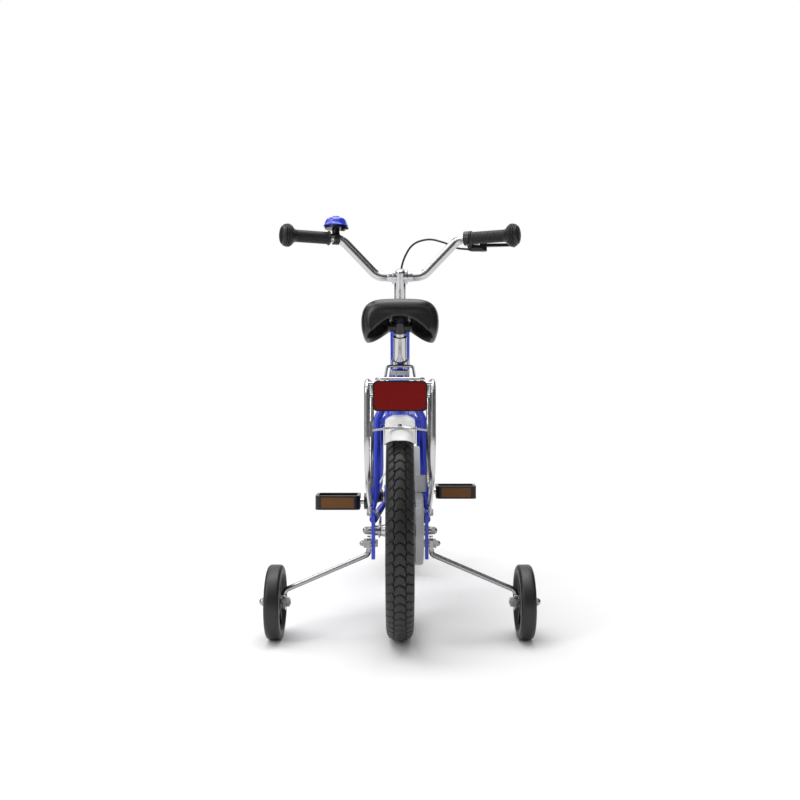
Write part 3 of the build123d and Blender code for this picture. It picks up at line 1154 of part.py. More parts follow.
def build_rack():
    loop = rack_loop()
    save("rack_sides", loop, other_side(loop))
    rear_y, front_y = REAR_Y - RACK_REAR + 5.5, REAR_Y + RACK_FRONT - 14
    z = RACK_HEIGHT
    rods = [rod((-RACK_HALF, front_y, z), (RACK_HALF, front_y, z), RACK_ROD_RADIUS)]
    for height in (z - 4, z - 24):
        rods.append(rod((-RACK_HALF, rear_y, height), (RACK_HALF, rear_y, height), RACK_ROD_RADIUS))
    for side in (-1, 1):
        x = side * RACK_ROD_HALF
        rods.append(rod((x, rear_y, z - 4), (x, front_y, z), RACK_LONG_RADIUS))
    seat = seat_point(HOOP_HEIGHT)
    hoop_y = seat.Y - (COLLAR_RADIUS + RACK_ROD_RADIUS + GAP) / SEAT_UP.Z
    points = [(-HOOP_HALF, front_y, z), (-HOOP_HALF + 4.5, hoop_y, HOOP_HEIGHT),
              (HOOP_HALF - 4.5, hoop_y, HOOP_HEIGHT), (HOOP_HALF, front_y, z)]
    rods.append(bent(points, [9, 9], RACK_ROD_RADIUS))
    tab_frame = Plane(origin=seat, x_dir=(1, 0, 0), z_dir=SEAT_UP)
    tab = Pos(0, -SEAT_TUBE_RADIUS - 2.8, -6) * Box(38, 5.2, 9)
    tab += Pos(0, -SEAT_TUBE_RADIUS - 1.6, -14) * (Box(20, 2.8, 12) - Pos(0, 0, -4) * Box(11.6, 4, 12))
    rods.append(tab_frame.location * tab)
    taken = [loop, other_side(loop), rod(seat_point(400), seat_point(560), SEAT_TUBE_RADIUS + SEAT)]
    trimmed = []
    for piece in rods:
        for other in taken:
            piece = piece - other
        trimmed.append(largest(piece))
        taken.append(trimmed[-1])
    save("rack_deck", *trimmed)
    face = REAR_Y - REFLECTOR_REACH
    block = Plane(origin=(0, face, REFLECTOR_Z), x_dir=(1, 0, 0), z_dir=(0, -1, 0))
    outer = RectangleRounded(REFLECTOR_WIDTH, REFLECTOR_HEIGHT, REFLECTOR_CORNER)
    lens = RectangleRounded(REFLECTOR_WIDTH - 2 * REFLECTOR_RIM, REFLECTOR_HEIGHT - 2 * REFLECTOR_RIM,
                            REFLECTOR_CORNER - REFLECTOR_RIM)
    depth = (rear_y - RACK_ROD_RADIUS - SEAT) - face
    housing = extrude(block * outer, amount=-depth) - extrude(block * lens, amount=-3)
    save("reflector_housing", housing)
    shrunk = RectangleRounded(REFLECTOR_WIDTH - 2 * REFLECTOR_RIM - 2 * SEAT,
                              REFLECTOR_HEIGHT - 2 * REFLECTOR_RIM - 2 * SEAT, REFLECTOR_CORNER - REFLECTOR_RIM)
    save("reflector_lens", extrude(block * Pos(0, 0, -0.5) * shrunk, amount=-2.5 + SEAT))
    clip_z = z + RACK_ROD_RADIUS + CLIP_RADIUS + GAP
    corners = [(-CLIP_HALF, front_y, clip_z), (-CLIP_HALF, front_y - CLIP_REACH, clip_z),
               (CLIP_HALF, front_y - CLIP_REACH, clip_z), (CLIP_HALF, front_y, clip_z)]
    clip = bent(corners, [10, 10], CLIP_RADIUS)
    for side in (-1, 1):
        clip += rod((side * CLIP_HALF - 2.6, front_y, z), (side * CLIP_HALF + 2.6, front_y, z), 8.2)
    clip -= rod((-RACK_HALF, front_y, z), (RACK_HALF, front_y, z), RACK_ROD_RADIUS + FIT)
    save("rack_clip", clip)


def build_rear_hardware():
    save("rear_axle", across(-66, 66, REAR_AXLE_RADIUS, REAR_AXLE))
    nuts = []
    for side in (-1, 1):
        face = DROPOUT_OUTER + SEAT
        washer = across(face, face + 5.5, 7.6, REAR_AXLE)
        nut = hexagon(face + 5.5, face + 12, 13.5, REAR_AXLE) + dome(face + 12, face + 17, 6.6, REAR_AXLE)
        pair = washer + nut
        pair -= across(0, 66 + SEAT, REAR_AXLE_RADIUS + SEAT, REAR_AXLE)
        inner_face = DROPOUT_INNER - SEAT
        cone_start = CHAIN_LINE + TOOTH_WIDTH / 2 + GAP if side > 0 else ARM_OUTER + SEAT
        cone = across(cone_start, inner_face, 9.5, REAR_AXLE)
        cone -= across(0, 66, REAR_AXLE_RADIUS + SEAT, REAR_AXLE)
        bolt_at = Vector(0, REAR_Y + RACK_BOLT_Y, RACK_BOLT_Z)
        head = CASE_OUTER + GAP if side > 0 else DROPOUT_INNER - 5.5
        bolt = across(head, RACK_EYE_OUTER + 4, 3, bolt_at)
        bolt += hexagon(RACK_EYE_OUTER + SEAT, RACK_EYE_OUTER + 4, 12, bolt_at)
        bolt += across(face, RACK_EYE_INNER - SEAT, 6, bolt_at) + hexagon(head, inner_face, 11, bolt_at)
        for piece in (pair, cone, bolt):
            nuts.append(piece if side > 0 else other_side(piece))
    save("axle_nuts", *nuts)
    arm = Pos(REAR_Y, WHEEL_RADIUS) * Circle(13.5)
    outline = make_face(Polyline(
        (REAR_Y - 6, WHEEL_RADIUS - 12), (REAR_Y + 118, CHAINSTAY_HEIGHT - 20), (REAR_Y + 122, CHAINSTAY_HEIGHT - 8),
        (REAR_Y, WHEEL_RADIUS + 13), close=True))
    brake_arm = plate(arm + outline, -ARM_OUTER, -ARM_INNER) - across(-50, -30, REAR_AXLE_RADIUS + SEAT, REAR_AXLE)
    brake_arm -= chainstay_tube(-1, GAP)
    save("coaster_arm", largest(brake_arm))


def training_arm():
    """A steel arm: a flat plate on the dropout, a round bar sloping out, and an eye for the wheel's bolt."""
    y = REAR_Y + TRAINING_Y
    middle = TRAINING_ARM_INNER + TRAINING_ARM_RADIUS - 1
    outline = Pos(y, 176) * RectangleRounded(24, 30, 7) - Pos(y, TRAINING_BOLT_Z) * Circle(4 + SEAT)
    top = plate(outline, TRAINING_ARM_INNER, TRAINING_ARM_INNER + TRAINING_PLATE)
    bar = bent([(middle, y, 167), (middle, y, 157), (TRAINING_END_X, y, 90), (TRAINING_END_X, y, 79)],
               [9, 11], TRAINING_ARM_RADIUS)
    bottom = Pos(y, TRAINING_AXIS_Z) * RectangleRounded(22, 30, 8)
    bottom -= Pos(y, TRAINING_AXIS_Z) * Circle(TRAINING_BOLT_RADIUS + SEAT)
    eye = plate(bottom, TRAINING_END_X - 3, TRAINING_END_X + 3)
    bolt_room = across(TRAINING_ARM_INNER - 8, TRAINING_ARM_INNER + 30, 4 + SEAT, Vector(0, y, TRAINING_BOLT_Z))
    eye_room = across(TRAINING_END_X - 9, TRAINING_END_X + 9, TRAINING_BOLT_RADIUS + SEAT,
                      Vector(0, y, TRAINING_AXIS_Z))
    return top + bar + eye - bolt_room - eye_room


def training_wheel():
    """A moulded wheel with a rounded tread, recessed faces, six ribs and a bored hub."""
    centre = Vector(0, REAR_Y + TRAINING_Y, TRAINING_AXIS_Z)
    a, b = TRAINING_INNER, TRAINING_INNER + TRAINING_WIDTH
    r = TRAINING_RADIUS
    bore = TRAINING_BOLT_RADIUS + FIT
    body = turned(
        [(a + 9, bore), (a + 4, bore), (a + 4, 13), (a + 10, 15), (a + 10, 50), (a, 54), (a, r - 6), (a + 6, r),
         (b - 6, r), (b, r - 6), (b, 54), (b - 9, 50), (b - 9, 15), (b + 1, 13), (b + 1, bore)],
        centre,
        {6: (a + 1.8, r - 1.8), 8: (b - 1.8, r - 1.8)},
    )
    for k in range(6):
        angle = k * 60
        rib = Pos((a + b) / 2 + 2, centre.Y, centre.Z) * Rot(angle, 0, 0) * Pos(0, 0, 32) * Box(17, 5, 40)
        body += rib
    return body


def build_training_wheels():
    arm = training_arm()
    save("training_arms", other_side(arm), arm)
    wheel = training_wheel()
    save("training_wheel_left", other_side(wheel))
    save("training_wheel_right", wheel)
    y = REAR_Y + TRAINING_Y
    at, low = Vector(0, y, TRAINING_AXIS_Z), Vector(0, y, TRAINING_BOLT_Z)
    outer = TRAINING_INNER + TRAINING_WIDTH
    wheel_bolt = across(TRAINING_END_X - 12, outer + 6, TRAINING_BOLT_RADIUS, at)
    wheel_bolt += across(outer + 1 + GAP, outer + 3.5, 11, at)
    wheel_bolt += hexagon(outer + 3.5, outer + 10, 15, at) + dome(outer + 10, outer + 16.4, 7, at)
    wheel_bolt += hexagon(TRAINING_END_X - 10, TRAINING_END_X - 3 - SEAT, 16, at)
    low_bolts = []
    for side, head in ((-1, DROPOUT_INNER - 5.5), (1, CASE_OUTER + GAP)):
        piece = across(head, 70, 4, low) + hexagon(head, DROPOUT_INNER - SEAT, 13, low)
        low_bolts.append((side, piece))
    outside = hexagon(TRAINING_ARM_INNER + TRAINING_PLATE + SEAT, TRAINING_ARM_INNER + TRAINING_PLATE + 6, 16, low)
    outside += hexagon(TRAINING_ARM_INNER + TRAINING_PLATE + 6, 71, 10.5, low) + dome(71, 75.5, 5.1, low)
    outside += across(DROPOUT_OUTER + SEAT, TRAINING_ARM_INNER - SEAT, 8, low)
    fixed = [piece + outside if side > 0 else other_side(piece + outside) for side, piece in low_bolts]
    save("training_wheel_bolts", wheel_bolt, other_side(wheel_bolt), *fixed)


os.makedirs("parts", exist_ok=True)
build_frame()
build_wheels()
build_drive()
build_pedals()
build_chain_case()
build_seat()
build_steering()
build_cable(build_brake())
build_caliper()
build_bell()
build_guards()
build_rack()
build_rear_hardware()
build_training_wheels()
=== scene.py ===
import bmesh
import bpy
import json
from math import atan2, cos, hypot, pi, radians, sin, tan
from mathutils import Matrix, Vector


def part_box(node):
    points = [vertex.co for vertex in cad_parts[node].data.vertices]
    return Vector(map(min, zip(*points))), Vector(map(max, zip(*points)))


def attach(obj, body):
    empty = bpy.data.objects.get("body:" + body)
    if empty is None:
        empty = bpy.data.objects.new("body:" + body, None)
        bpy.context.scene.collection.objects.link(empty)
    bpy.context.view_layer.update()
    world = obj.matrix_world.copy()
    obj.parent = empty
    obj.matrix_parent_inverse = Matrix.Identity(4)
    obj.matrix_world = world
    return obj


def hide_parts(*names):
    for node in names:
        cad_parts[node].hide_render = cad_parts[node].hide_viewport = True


# Looks for the children's bicycle. Metres, in the CAD frame: +Y forward, +X to the rider's right.

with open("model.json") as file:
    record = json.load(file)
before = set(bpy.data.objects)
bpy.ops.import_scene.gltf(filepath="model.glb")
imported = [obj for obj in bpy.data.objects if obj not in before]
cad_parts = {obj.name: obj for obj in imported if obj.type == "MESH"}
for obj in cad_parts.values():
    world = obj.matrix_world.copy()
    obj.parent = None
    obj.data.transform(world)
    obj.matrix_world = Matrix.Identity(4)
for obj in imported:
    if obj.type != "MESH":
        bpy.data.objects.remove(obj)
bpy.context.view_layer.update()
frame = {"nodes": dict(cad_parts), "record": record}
nodes = frame["nodes"]

# Camera
CAMERA_DISTANCE = 1.683
CAMERA_HEIGHT = 0.444
CAMERA_LENS = 40.5

# Tread of the tyres
TREAD_REPEATS = 68
TREAD_STEPS = 14
GROOVE_DEPTH = 0.0024


def middle(node):
    """The centre of a CAD node's box."""
    low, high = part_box(node)
    return (low + high) / 2


REAR = middle("rear_tyre")
FRONT = middle("front_tyre")
WHEEL_RADIUS = (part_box("rear_tyre")[1].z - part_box("rear_tyre")[0].z) / 2
TYRE_HALF = 0.0249


# Materials

def principled(name, colour, roughness=0.5, metallic=0.0, coat=0.0, specular=0.5):
    """A material with its main values set and its nodes at hand."""
    material = bpy.data.materials.new(name)
    material.use_nodes = True
    shader = material.node_tree.nodes["Principled BSDF"]
    shader.inputs["Base Color"].default_value = (*colour, 1)
    shader.inputs["Roughness"].default_value = roughness
    shader.inputs["Metallic"].default_value = metallic
    shader.inputs["Coat Weight"].default_value = coat
    shader.inputs["Coat Roughness"].default_value = 0.06
    shader.inputs["Specular IOR Level"].default_value = specular
    return material


def node(material, kind, **values):
    """A shader node with some of its sockets set."""
    made = material.node_tree.nodes.new(kind)
    for key, value in values.items():
        made.inputs[key.replace("_", " ")].default_value = value
    return made


def link(material, out, into):
    material.node_tree.links.new(out, into)


def worn(material, scale, spread, bump, distance=0.0004, low=0.0, stretch=(1, 1, 1)):
    """Adds fine noise: to the roughness by some spread, and to the surface as a bump."""
    shader = material.node_tree.nodes["Principled BSDF"]
    place = node(material, "ShaderNodeTexCoord")
    mapping = node(material, "ShaderNodeMapping", Scale=stretch)
    noise = node(material, "ShaderNodeTexNoise", Scale=scale, Detail=4.0, Roughness=0.6)
    link(material, place.outputs["Object"], mapping.inputs["Vector"])
    link(material, mapping.outputs["Vector"], noise.inputs["Vector"])
    base = shader.inputs["Roughness"].default_value
    rough = material.node_tree.nodes.new("ShaderNodeMapRange")
    rough.inputs["To Min"].default_value = max(base - spread, 0.02)
    rough.inputs["To Max"].default_value = base + spread
    link(material, noise.outputs["Fac"], rough.inputs["Value"])
    link(material, rough.outputs["Result"], shader.inputs["Roughness"])
    if bump:
        relief = node(material, "ShaderNodeBump", Strength=bump, Distance=distance)
        link(material, noise.outputs["Fac"], relief.inputs["Height"])
        link(material, relief.outputs["Normal"], shader.inputs["Normal"])
    tint = material.node_tree.nodes.new("ShaderNodeMix")
    tint.data_type = "RGBA"
    colour = shader.inputs["Base Color"].default_value[:]
    tint.inputs[6].default_value = colour
    tint.inputs[7].default_value = (*[c * (1 - low) for c in colour[:3]], 1)
    link(material, noise.outputs["Fac"], tint.inputs[0])
    link(material, tint.outputs[2], shader.inputs["Base Color"])
    return material


def facets_and_painted_glints(material, pitch, strength, distance):
    """Adds the small facets of a reflector lens: a bump, and in the colour a painted highlight at each facet's middle
    and painted shade towards its edges.
    """
    shader = material.node_tree.nodes["Principled BSDF"]
    place = node(material, "ShaderNodeTexCoord")
    mapping = node(material, "ShaderNodeMapping", Scale=(1 / pitch, 1 / pitch, 1 / pitch))
    mapping.inputs["Rotation"].default_value = (0, 0, 0)
    pattern = node(material, "ShaderNodeTexVoronoi", Scale=1.0, Randomness=0.0)
    link(material, place.outputs["Object"], mapping.inputs["Vector"])
    link(material, mapping.outputs["Vector"], pattern.inputs["Vector"])
    relief = node(material, "ShaderNodeBump", Strength=strength, Distance=distance)
    link(material, pattern.outputs["Distance"], relief.inputs["Height"])
    link(material, relief.outputs["Normal"], shader.inputs["Normal"])
    # Painted highlight and shade: each facet's colour runs from 1.5 times the lens colour at its middle to 0.45 times
    # at its edges.
    tint = material.node_tree.nodes.new("ShaderNodeMix")
    tint.data_type = "RGBA"
    colour = shader.inputs["Base Color"].default_value[:]
    tint.inputs[6].default_value = (*[c * 1.5 for c in colour[:3]], 1)
    tint.inputs[7].default_value = (*[c * 0.45 for c in colour[:3]], 1)
    link(material, pattern.outputs["Distance"], tint.inputs[0])
    link(material, tint.outputs[2], shader.inputs["Base Color"])
    return material


MATERIALS = {
    "frame_paint": worn(principled("blue paint", (0.017, 0.045, 0.60), 0.26, coat=0.35), 60, 0.04, 0, low=0.1),
    "bell_paint": worn(principled("bell paint", (0.015, 0.045, 0.62), 0.22, coat=0.5), 90, 0.04, 0, low=0.08),
    "chrome": worn(principled("chrome", (0.60, 0.60, 0.61), 0.2, 1.0), 45, 0.03, 0, low=0.08, stretch=(1, 1, 0.4)),
    "rim_steel": worn(principled("rim steel", (0.55, 0.55, 0.56), 0.24, 1.0), 60, 0.04, 0, low=0.12),
    "zinc_steel": worn(principled("zinc plate", (0.44, 0.44, 0.45), 0.27, 1.0), 110, 0.08, 0, low=0.22),
    "chain_steel": worn(principled("chain steel", (0.16, 0.155, 0.15), 0.4, 1.0), 400, 0.1, 0, low=0.3),
    "white_plastic": worn(principled("white plastic", (0.80, 0.80, 0.80), 0.28, coat=0.2), 70, 0.05, 0, low=0.05),
    "grey_plastic": worn(principled("grey plastic", (0.36, 0.365, 0.38), 0.33, coat=0.2), 80, 0.06, 0.02, low=0.08),
    "black_plastic": worn(principled("black plastic", (0.009, 0.009, 0.009), 0.3), 300, 0.08, 0.03, low=0.2),
    "black_paint": worn(principled("black paint", (0.012, 0.012, 0.012), 0.28, coat=0.3), 800, 0.06, 0.05, low=0.2),
    "black_rubber": worn(principled("grip rubber", (0.016, 0.016, 0.016), 0.45), 300, 0.06, 0.03, low=0.15),
    "tyre": worn(principled("tyre rubber", (0.013, 0.013, 0.0135), 0.5), 420, 0.1, 0.08, low=0.3),
    "saddle_cover": worn(principled("saddle cover", (0.014, 0.014, 0.0145), 0.3), 500, 0.06, 0.04, low=0.2),
    "training_wheel_plastic": worn(principled("wheel plastic", (0.012, 0.012, 0.012), 0.4), 700, 0.1, 0.1, low=0.25),
    # The reflector lenses carry painted facet highlights and painted shade in their colour.
    "red_reflector": facets_and_painted_glints(principled("red lens", (0.21, 0.004, 0.004), 0.2, specular=0.35), 0.0026, 0.5, 0.0006),
    "amber_reflector": facets_and_painted_glints(principled("amber lens", (0.20, 0.078, 0.018), 0.25, specular=0.3), 0.0024, 0.5, 0.0005),
}
SLOT_OF = {part["node"]: part["material_slot"] for part in frame["record"]["subparts"]}


def smooth(mesh, angle=32):
    """Smooth shading with the sharp edges kept."""
    for face in mesh.polygons:
        face.use_smooth = True
    mesh.set_sharp_from_angle(angle=radians(angle))


def dress(name, thing):
    """Gives a piece its slot's material."""
    thing.data.materials.clear()
    thing.data.materials.append(MATERIALS[SLOT_OF[name]])


for name, thing in nodes.items():
    dress(name, thing)
    smooth(thing.data)


# Building pieces

def from_rings(name, rings, closed_along=False, closed_round=True, caps=False):
    """A mesh skinned over rings of equally many points."""
    mesh = bpy.data.meshes.new(name)
    count = len(rings[0])
    verts = [p for ring in rings for p in ring]
    faces = []
    for i in range(len(rings) if closed_along else len(rings) - 1):
        here, there = i * count, (i + 1) % len(rings) * count
        for k in range(count if closed_round else count - 1):
            other = (k + 1) % count
            faces.append((here + k, here + other, there + other, there + k))
    if caps:
        faces.append(tuple(range(count))[::-1])
        faces.append(tuple((len(rings) - 1) * count + k for k in range(count)))
    mesh.from_pydata(verts, [], faces)
    mesh.update()
    thing = bpy.data.objects.new(name, mesh)
    bpy.context.scene.collection.objects.link(thing)
    work = bmesh.new()
    work.from_mesh(mesh)
    bmesh.ops.recalc_face_normals(work, faces=work.faces)
    work.to_mesh(mesh)
    work.free()
    return thing


def wheel_point(centre, x, radius, angle):
    """A point round an axle along X, its angle counted up from straight ahead."""
    return (centre.x + x, centre.y + radius * cos(angle), centre.z + radius * sin(angle))


def lathe(name, profile, centre, segments):
    """A closed outline of places along the axle and radii, turned about the axle."""
    rings = []
    for i in range(segments):
        angle = 2 * pi * i / segments
        rings.append([wheel_point(centre, x, r, angle) for x, r in profile])
    return from_rings(name, rings, closed_along=True)


def arc(start, mid, end, steps):
    """Points along the circle through three points, the last one left out."""
    (ax, ay), (bx, by), (cx, cy) = start, mid, end
    d = 2 * (ax * (by - cy) + bx * (cy - ay) + cx * (ay - by))
    ux = ((ax**2 + ay**2) * (by - cy) + (bx**2 + by**2) * (cy - ay) + (cx**2 + cy**2) * (ay - by)) / d
    uy = ((ax**2 + ay**2) * (cx - bx) + (bx**2 + by**2) * (ax - cx) + (cx**2 + cy**2) * (bx - ax)) / d
    radius = hypot(ax - ux, ay - uy)
    first, last = atan2(ay - uy, ax - ux), atan2(cy - uy, cx - ux)
    through = atan2(by - uy, bx - ux)
    if (through - first) % (2 * pi) > (last - first) % (2 * pi):
        turn = -((first - last) % (2 * pi))
    else:
        turn = (last - first) % (2 * pi)
    return [(ux + radius * cos(first + turn * i / steps), uy + radius * sin(first + turn * i / steps))
            for i in range(steps)]


def join(name, things):
    """Several pieces as one object."""
    bpy.ops.object.select_all(action="DESELECT")
    for thing in things:
        thing.select_set(True)
    bpy.context.view_layer.objects.active = things[0]
    if len(things) > 1:
        bpy.ops.object.join()
    things[0].name = name
    return things[0]


def stand_for(thing, names, body, angle=32):
    """A finished piece shown in place of CAD nodes, riding on their body."""
    dress(names[0], thing)
    smooth(thing.data, angle)
    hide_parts(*names)
    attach(thing, body)
    return thing


def path(points, radius):
    """Points along straight legs joined by round bends of one radius."""
    route = [Vector(points[0])]
    for before, here, after in zip(points, points[1:], points[2:]):
        here = Vector(here)
        into, out = (here - Vector(before)).normalized(), (Vector(after) - here).normalized()
        bend = into.angle(out)
        reach = radius * tan(bend / 2)
        start = here - into * reach
        inward = (out - into * into.dot(out)).normalized()
        centre = start + inward * radius
        steps = max(4, int(bend / 0.06))
        for i in range(steps + 1):
            turn = bend * i / steps
            route.append(centre - inward * radius * cos(turn) + into * radius * sin(turn))
    route.append(Vector(points[-1]))
    return route


def tube(name, route, radii, segments=48, ends=True):
    """A round rod along a route, its radius given once or at every point."""
    if not isinstance(radii, list):
        radii = [radii] * len(route)
    rings = []
    normal = None
    for i, here in enumerate(route):
        before, after = route[max(i - 1, 0)], route[min(i + 1, len(route) - 1)]
        along = (after - before).normalized()
        if normal is None:
            normal = along.orthogonal().normalized()
        normal = (normal - along * normal.dot(along)).normalized()
        other = along.cross(normal)
        rings.append([here + (normal * cos(2 * pi * k / segments) + other * sin(2 * pi * k / segments)) * radii[i]
                      for k in range(segments)])
    return from_rings(name, rings, caps=ends)


def turned(name, start, heading, profile, segments=64, closed=True):
    """A closed outline of places along a line and radii about it, turned."""
    heading = heading.normalized()
    normal = heading.orthogonal().normalized()
    other = heading.cross(normal)
    rings = []
    for k in range(segments):
        turn = 2 * pi * k / segments
        out = normal * cos(turn) + other * sin(turn)
        rings.append([start + heading * t + out * max(r, 0.00001) for t, r in profile])
    return from_rings(name, rings, closed_along=True, closed_round=closed)


def block(name, centre, size, bevel=0.001):
    """A box with rounded edges."""
    bpy.ops.mesh.primitive_cube_add(size=1, location=centre)
    thing = bpy.context.object
    thing.name = name
    thing.scale = size
    bpy.ops.object.transform_apply(location=True, rotation=True, scale=True)
    modifier = thing.modifiers.new("edge", "BEVEL")
    modifier.width = bevel
    modifier.segments = 3
    bpy.ops.object.select_all(action="DESELECT")
    thing.select_set(True)
    bpy.context.view_layer.objects.active = thing
    bpy.ops.object.modifier_apply(modifier="edge")
    return thing


# Tyres

def groove_depth(x, share):
    """How deep the tread is cut at a place across it, in metres, a share of the way along one repeat."""
    side = abs(x)
    zigzag = 0.0100 + 0.0014 * (1 - 4 * abs(share - 0.5))
    ring = max(0.0, 1 - (abs(side - zigzag) / 0.0010) ** 4)
    slant = (share - side * 38) % 1.0
    chevron = max(0.0, 1 - (abs(slant - 0.5) / 0.085) ** 4) if side < 0.0092 else 0.0
    slope = (share - (side - 0.0114) * 36 + 0.15) % 1.0
    shoulder = max(0.0, 1 - (abs(slope - 0.5) / 0.115) ** 4) if side > 0.0112 else 0.0
    return GROOVE_DEPTH * max(ring, chevron, shoulder)


def tyre(name, centre):
    """A tyre with its tread cut in: zigzag rings, centre chevrons and slanted shoulder grooves."""
    bead, shoulder, belly = 0.0118, 0.0200, 0.1790
    low, shoulder_radius = 0.1601, WHEEL_RADIUS - 0.007
    side = arc((bead, low), (TYRE_HALF, belly), (shoulder, shoulder_radius), 9)
    crown = arc((shoulder, shoulder_radius), (0, WHEEL_RADIUS - 0.0002), (-shoulder, shoulder_radius), 40)
    other = [(-x, r) for x, r in reversed(side)]
    outer = side + crown + [(-shoulder, shoulder_radius)] + other
    inner = [(-bead, 0.1530), (-bead + 0.004, 0.1530), (-bead + 0.004, 0.1650), (bead - 0.004, 0.1650),
             (bead - 0.004, 0.1530), (bead, 0.1530)]
    count = TREAD_REPEATS * TREAD_STEPS
    rings = []
    for i in range(count):
        angle = 2 * pi * i / count
        share = (i % TREAD_STEPS) / TREAD_STEPS
        ring = []
        for x, r in outer:
            cut = groove_depth(x, share) if r > 0.1865 else 0.0
            ring.append(wheel_point(centre, x, r - cut, angle))
        ring += [wheel_point(centre, x, r, angle) for x, r in inner]
        rings.append(ring)
    thing = from_rings(name, rings, closed_along=True)
    return thing


def rim(name, centre):
    """A rolled rim: straight side walls, rounded lower corners and the spoke bed."""
    half, flange, bed, wall = 0.014, 0.159, 0.143, 0.002
    profile = [(-half, flange), (-half - 0.0, bed + 0.006)]
    profile += arc((-half, bed + 0.006), (-half + 0.0022, bed + 0.0018), (-half + 0.006, bed), 4)
    profile += arc((half - 0.006, bed), (half - 0.0022, bed + 0.0018), (half, bed + 0.006), 4)
    profile += [(half, bed + 0.006), (half, flange), (half - wall, flange), (half - wall, bed + 0.007),
                (half - 0.006, bed + wall), (-half + 0.006, bed + wall), (-half + wall, bed + 0.007),
                (-half + wall, flange)]
    return lathe(name, profile, centre, 160)


def nipples(name, centre, offset):
    """The spoke nipples standing on the rim's bed."""
    things = []
    for side in (-1, 1):
        for k in range(10):
            angle = radians(36 * k + (18 if side > 0 else 0))
            ring_sets = []
            for radius, wide in ((0.1432, 0.0021), (0.1400, 0.0021), (0.1390, 0.0017), (0.1325, 0.0016)):
                ring = []
                for j in range(8):
                    turn = 2 * pi * j / 8
                    tip = wheel_point(centre, side * (0.003 + (0.1432 - radius) * offset) + wide * cos(turn), radius, angle)
                    ring.append((tip[0], tip[1] - wide * sin(turn) * sin(angle), tip[2] + wide * sin(turn) * cos(angle)))
                ring_sets.append(ring)
            things.append(from_rings(name, ring_sets, caps=True))
    return join(name, things)


for which, centre, body in (("rear", REAR, "rear_wheel"), ("front", FRONT, "front_wheel")):
    stand_for(tyre(f"{which}_tyre_treaded", centre), [f"{which}_tyre"], body, 28)
    stand_for(rim(f"{which}_rim_rolled", centre), [f"{which}_rim"], body, 40)
    heads = nipples(f"{which}_nipples", centre, 0.19)
    dress(f"{which}_spokes", heads)
    smooth(heads.data, 40)
    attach(heads, body)


# Mudguards

def mudguard(name, centre, start, end, drop, power):
    """A crowned thin strip over part of the wheel, its edges curving down, closed flat at both ends."""
    half, radius, wall = 0.0273, 0.2165, 0.0018
    steps = 28
    rings = []
    spans = 120
    for i in range(spans + 1):
        share = i / spans
        angle = start + (end - start) * share
        ring = []
        for k in range(steps + 1):
            x = -half + 2 * half * k / steps
            r = radius - drop * (abs(x) / half) ** power
            ring.append(wheel_point(centre, x, r, radians(angle)))
        for k in range(steps, -1, -1):
            x = (-half + 2 * half * k / steps) * (1 - wall * 0.5 / half)
            r = radius - drop * (abs(x) / half) ** power - wall
            ring.append(wheel_point(centre, x, r, radians(angle)))
        rings.append(ring)
    return from_rings(name, rings, caps=True)


stand_for(mudguard("rear_mudguard_rolled", REAR, 12, 126, 0.009, 3.2), ["rear_mudguard"], "frame", 40)
stand_for(mudguard("front_mudguard_rolled", FRONT, 38, 172, 0.012, 2.2), ["front_mudguard"], "steering", 40)


# Training wheels

def training_wheel(name, centre, side):
    """A moulded wheel with a rounded rubber-like tread, a stepped web and six ribs."""
    low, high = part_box(f"training_wheel_{name}")
    inner = low.x if side > 0 else -high.x
    outer = inner + 0.028
    r = 0.0685
    profile = [(inner + 0.004, 0.0052), (inner + 0.004, 0.013), (inner + 0.010, 0.015), (inner + 0.010, 0.050)]
    profile += [(inner + 0.0015, 0.0535), (inner, 0.0550)]
    profile += arc((inner, r - 0.007), (inner + 0.002, r - 0.002), (inner + 0.007, r), 6)
    profile += arc((outer - 0.007, r), (outer - 0.002, r - 0.002), (outer, r - 0.007), 6)
    profile += [(outer, r - 0.007), (outer, 0.0550), (outer - 0.0015, 0.0535), (outer - 0.009, 0.050),
                (outer - 0.009, 0.015), (outer + 0.001, 0.013), (outer + 0.001, 0.0052)]
    flat = Vector((0, centre.y, centre.z))
    body = lathe(f"{name}_wheel_body", [(side * x, rad) for x, rad in profile], flat, 96)
    ribs = []
    for k in range(6):
        angle = radians(60 * k)
        corners = []
        for across in (inner + 0.0055, outer - 0.0035):
            for wide in (-0.0025, 0.0025):
                for reach in (0.012, 0.052):
                    corners.append((side * across, flat.y + reach * cos(angle) - wide * sin(angle),
                                    flat.z + reach * sin(angle) + wide * cos(angle)))
        mesh = bpy.data.meshes.new("rib")
        mesh.from_pydata(corners, [], [(0, 1, 3, 2), (4, 6, 7, 5), (0, 4, 5, 1), (2, 3, 7, 6), (0, 2, 6, 4), (1, 5, 7, 3)])
        rib = bpy.data.objects.new("rib", mesh)
        bpy.context.scene.collection.objects.link(rib)
        ribs.append(rib)
    return join(f"training_wheel_{name}_moulded", [body, *ribs])


for name, side in (("left", -1), ("right", 1)):
    node_name = f"training_wheel_{name}"
    stand_for(training_wheel(name, middle(node_name), side), [node_name], node_name, 34)


# Saddle

SADDLE_LOW, SADDLE_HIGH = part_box("saddle")


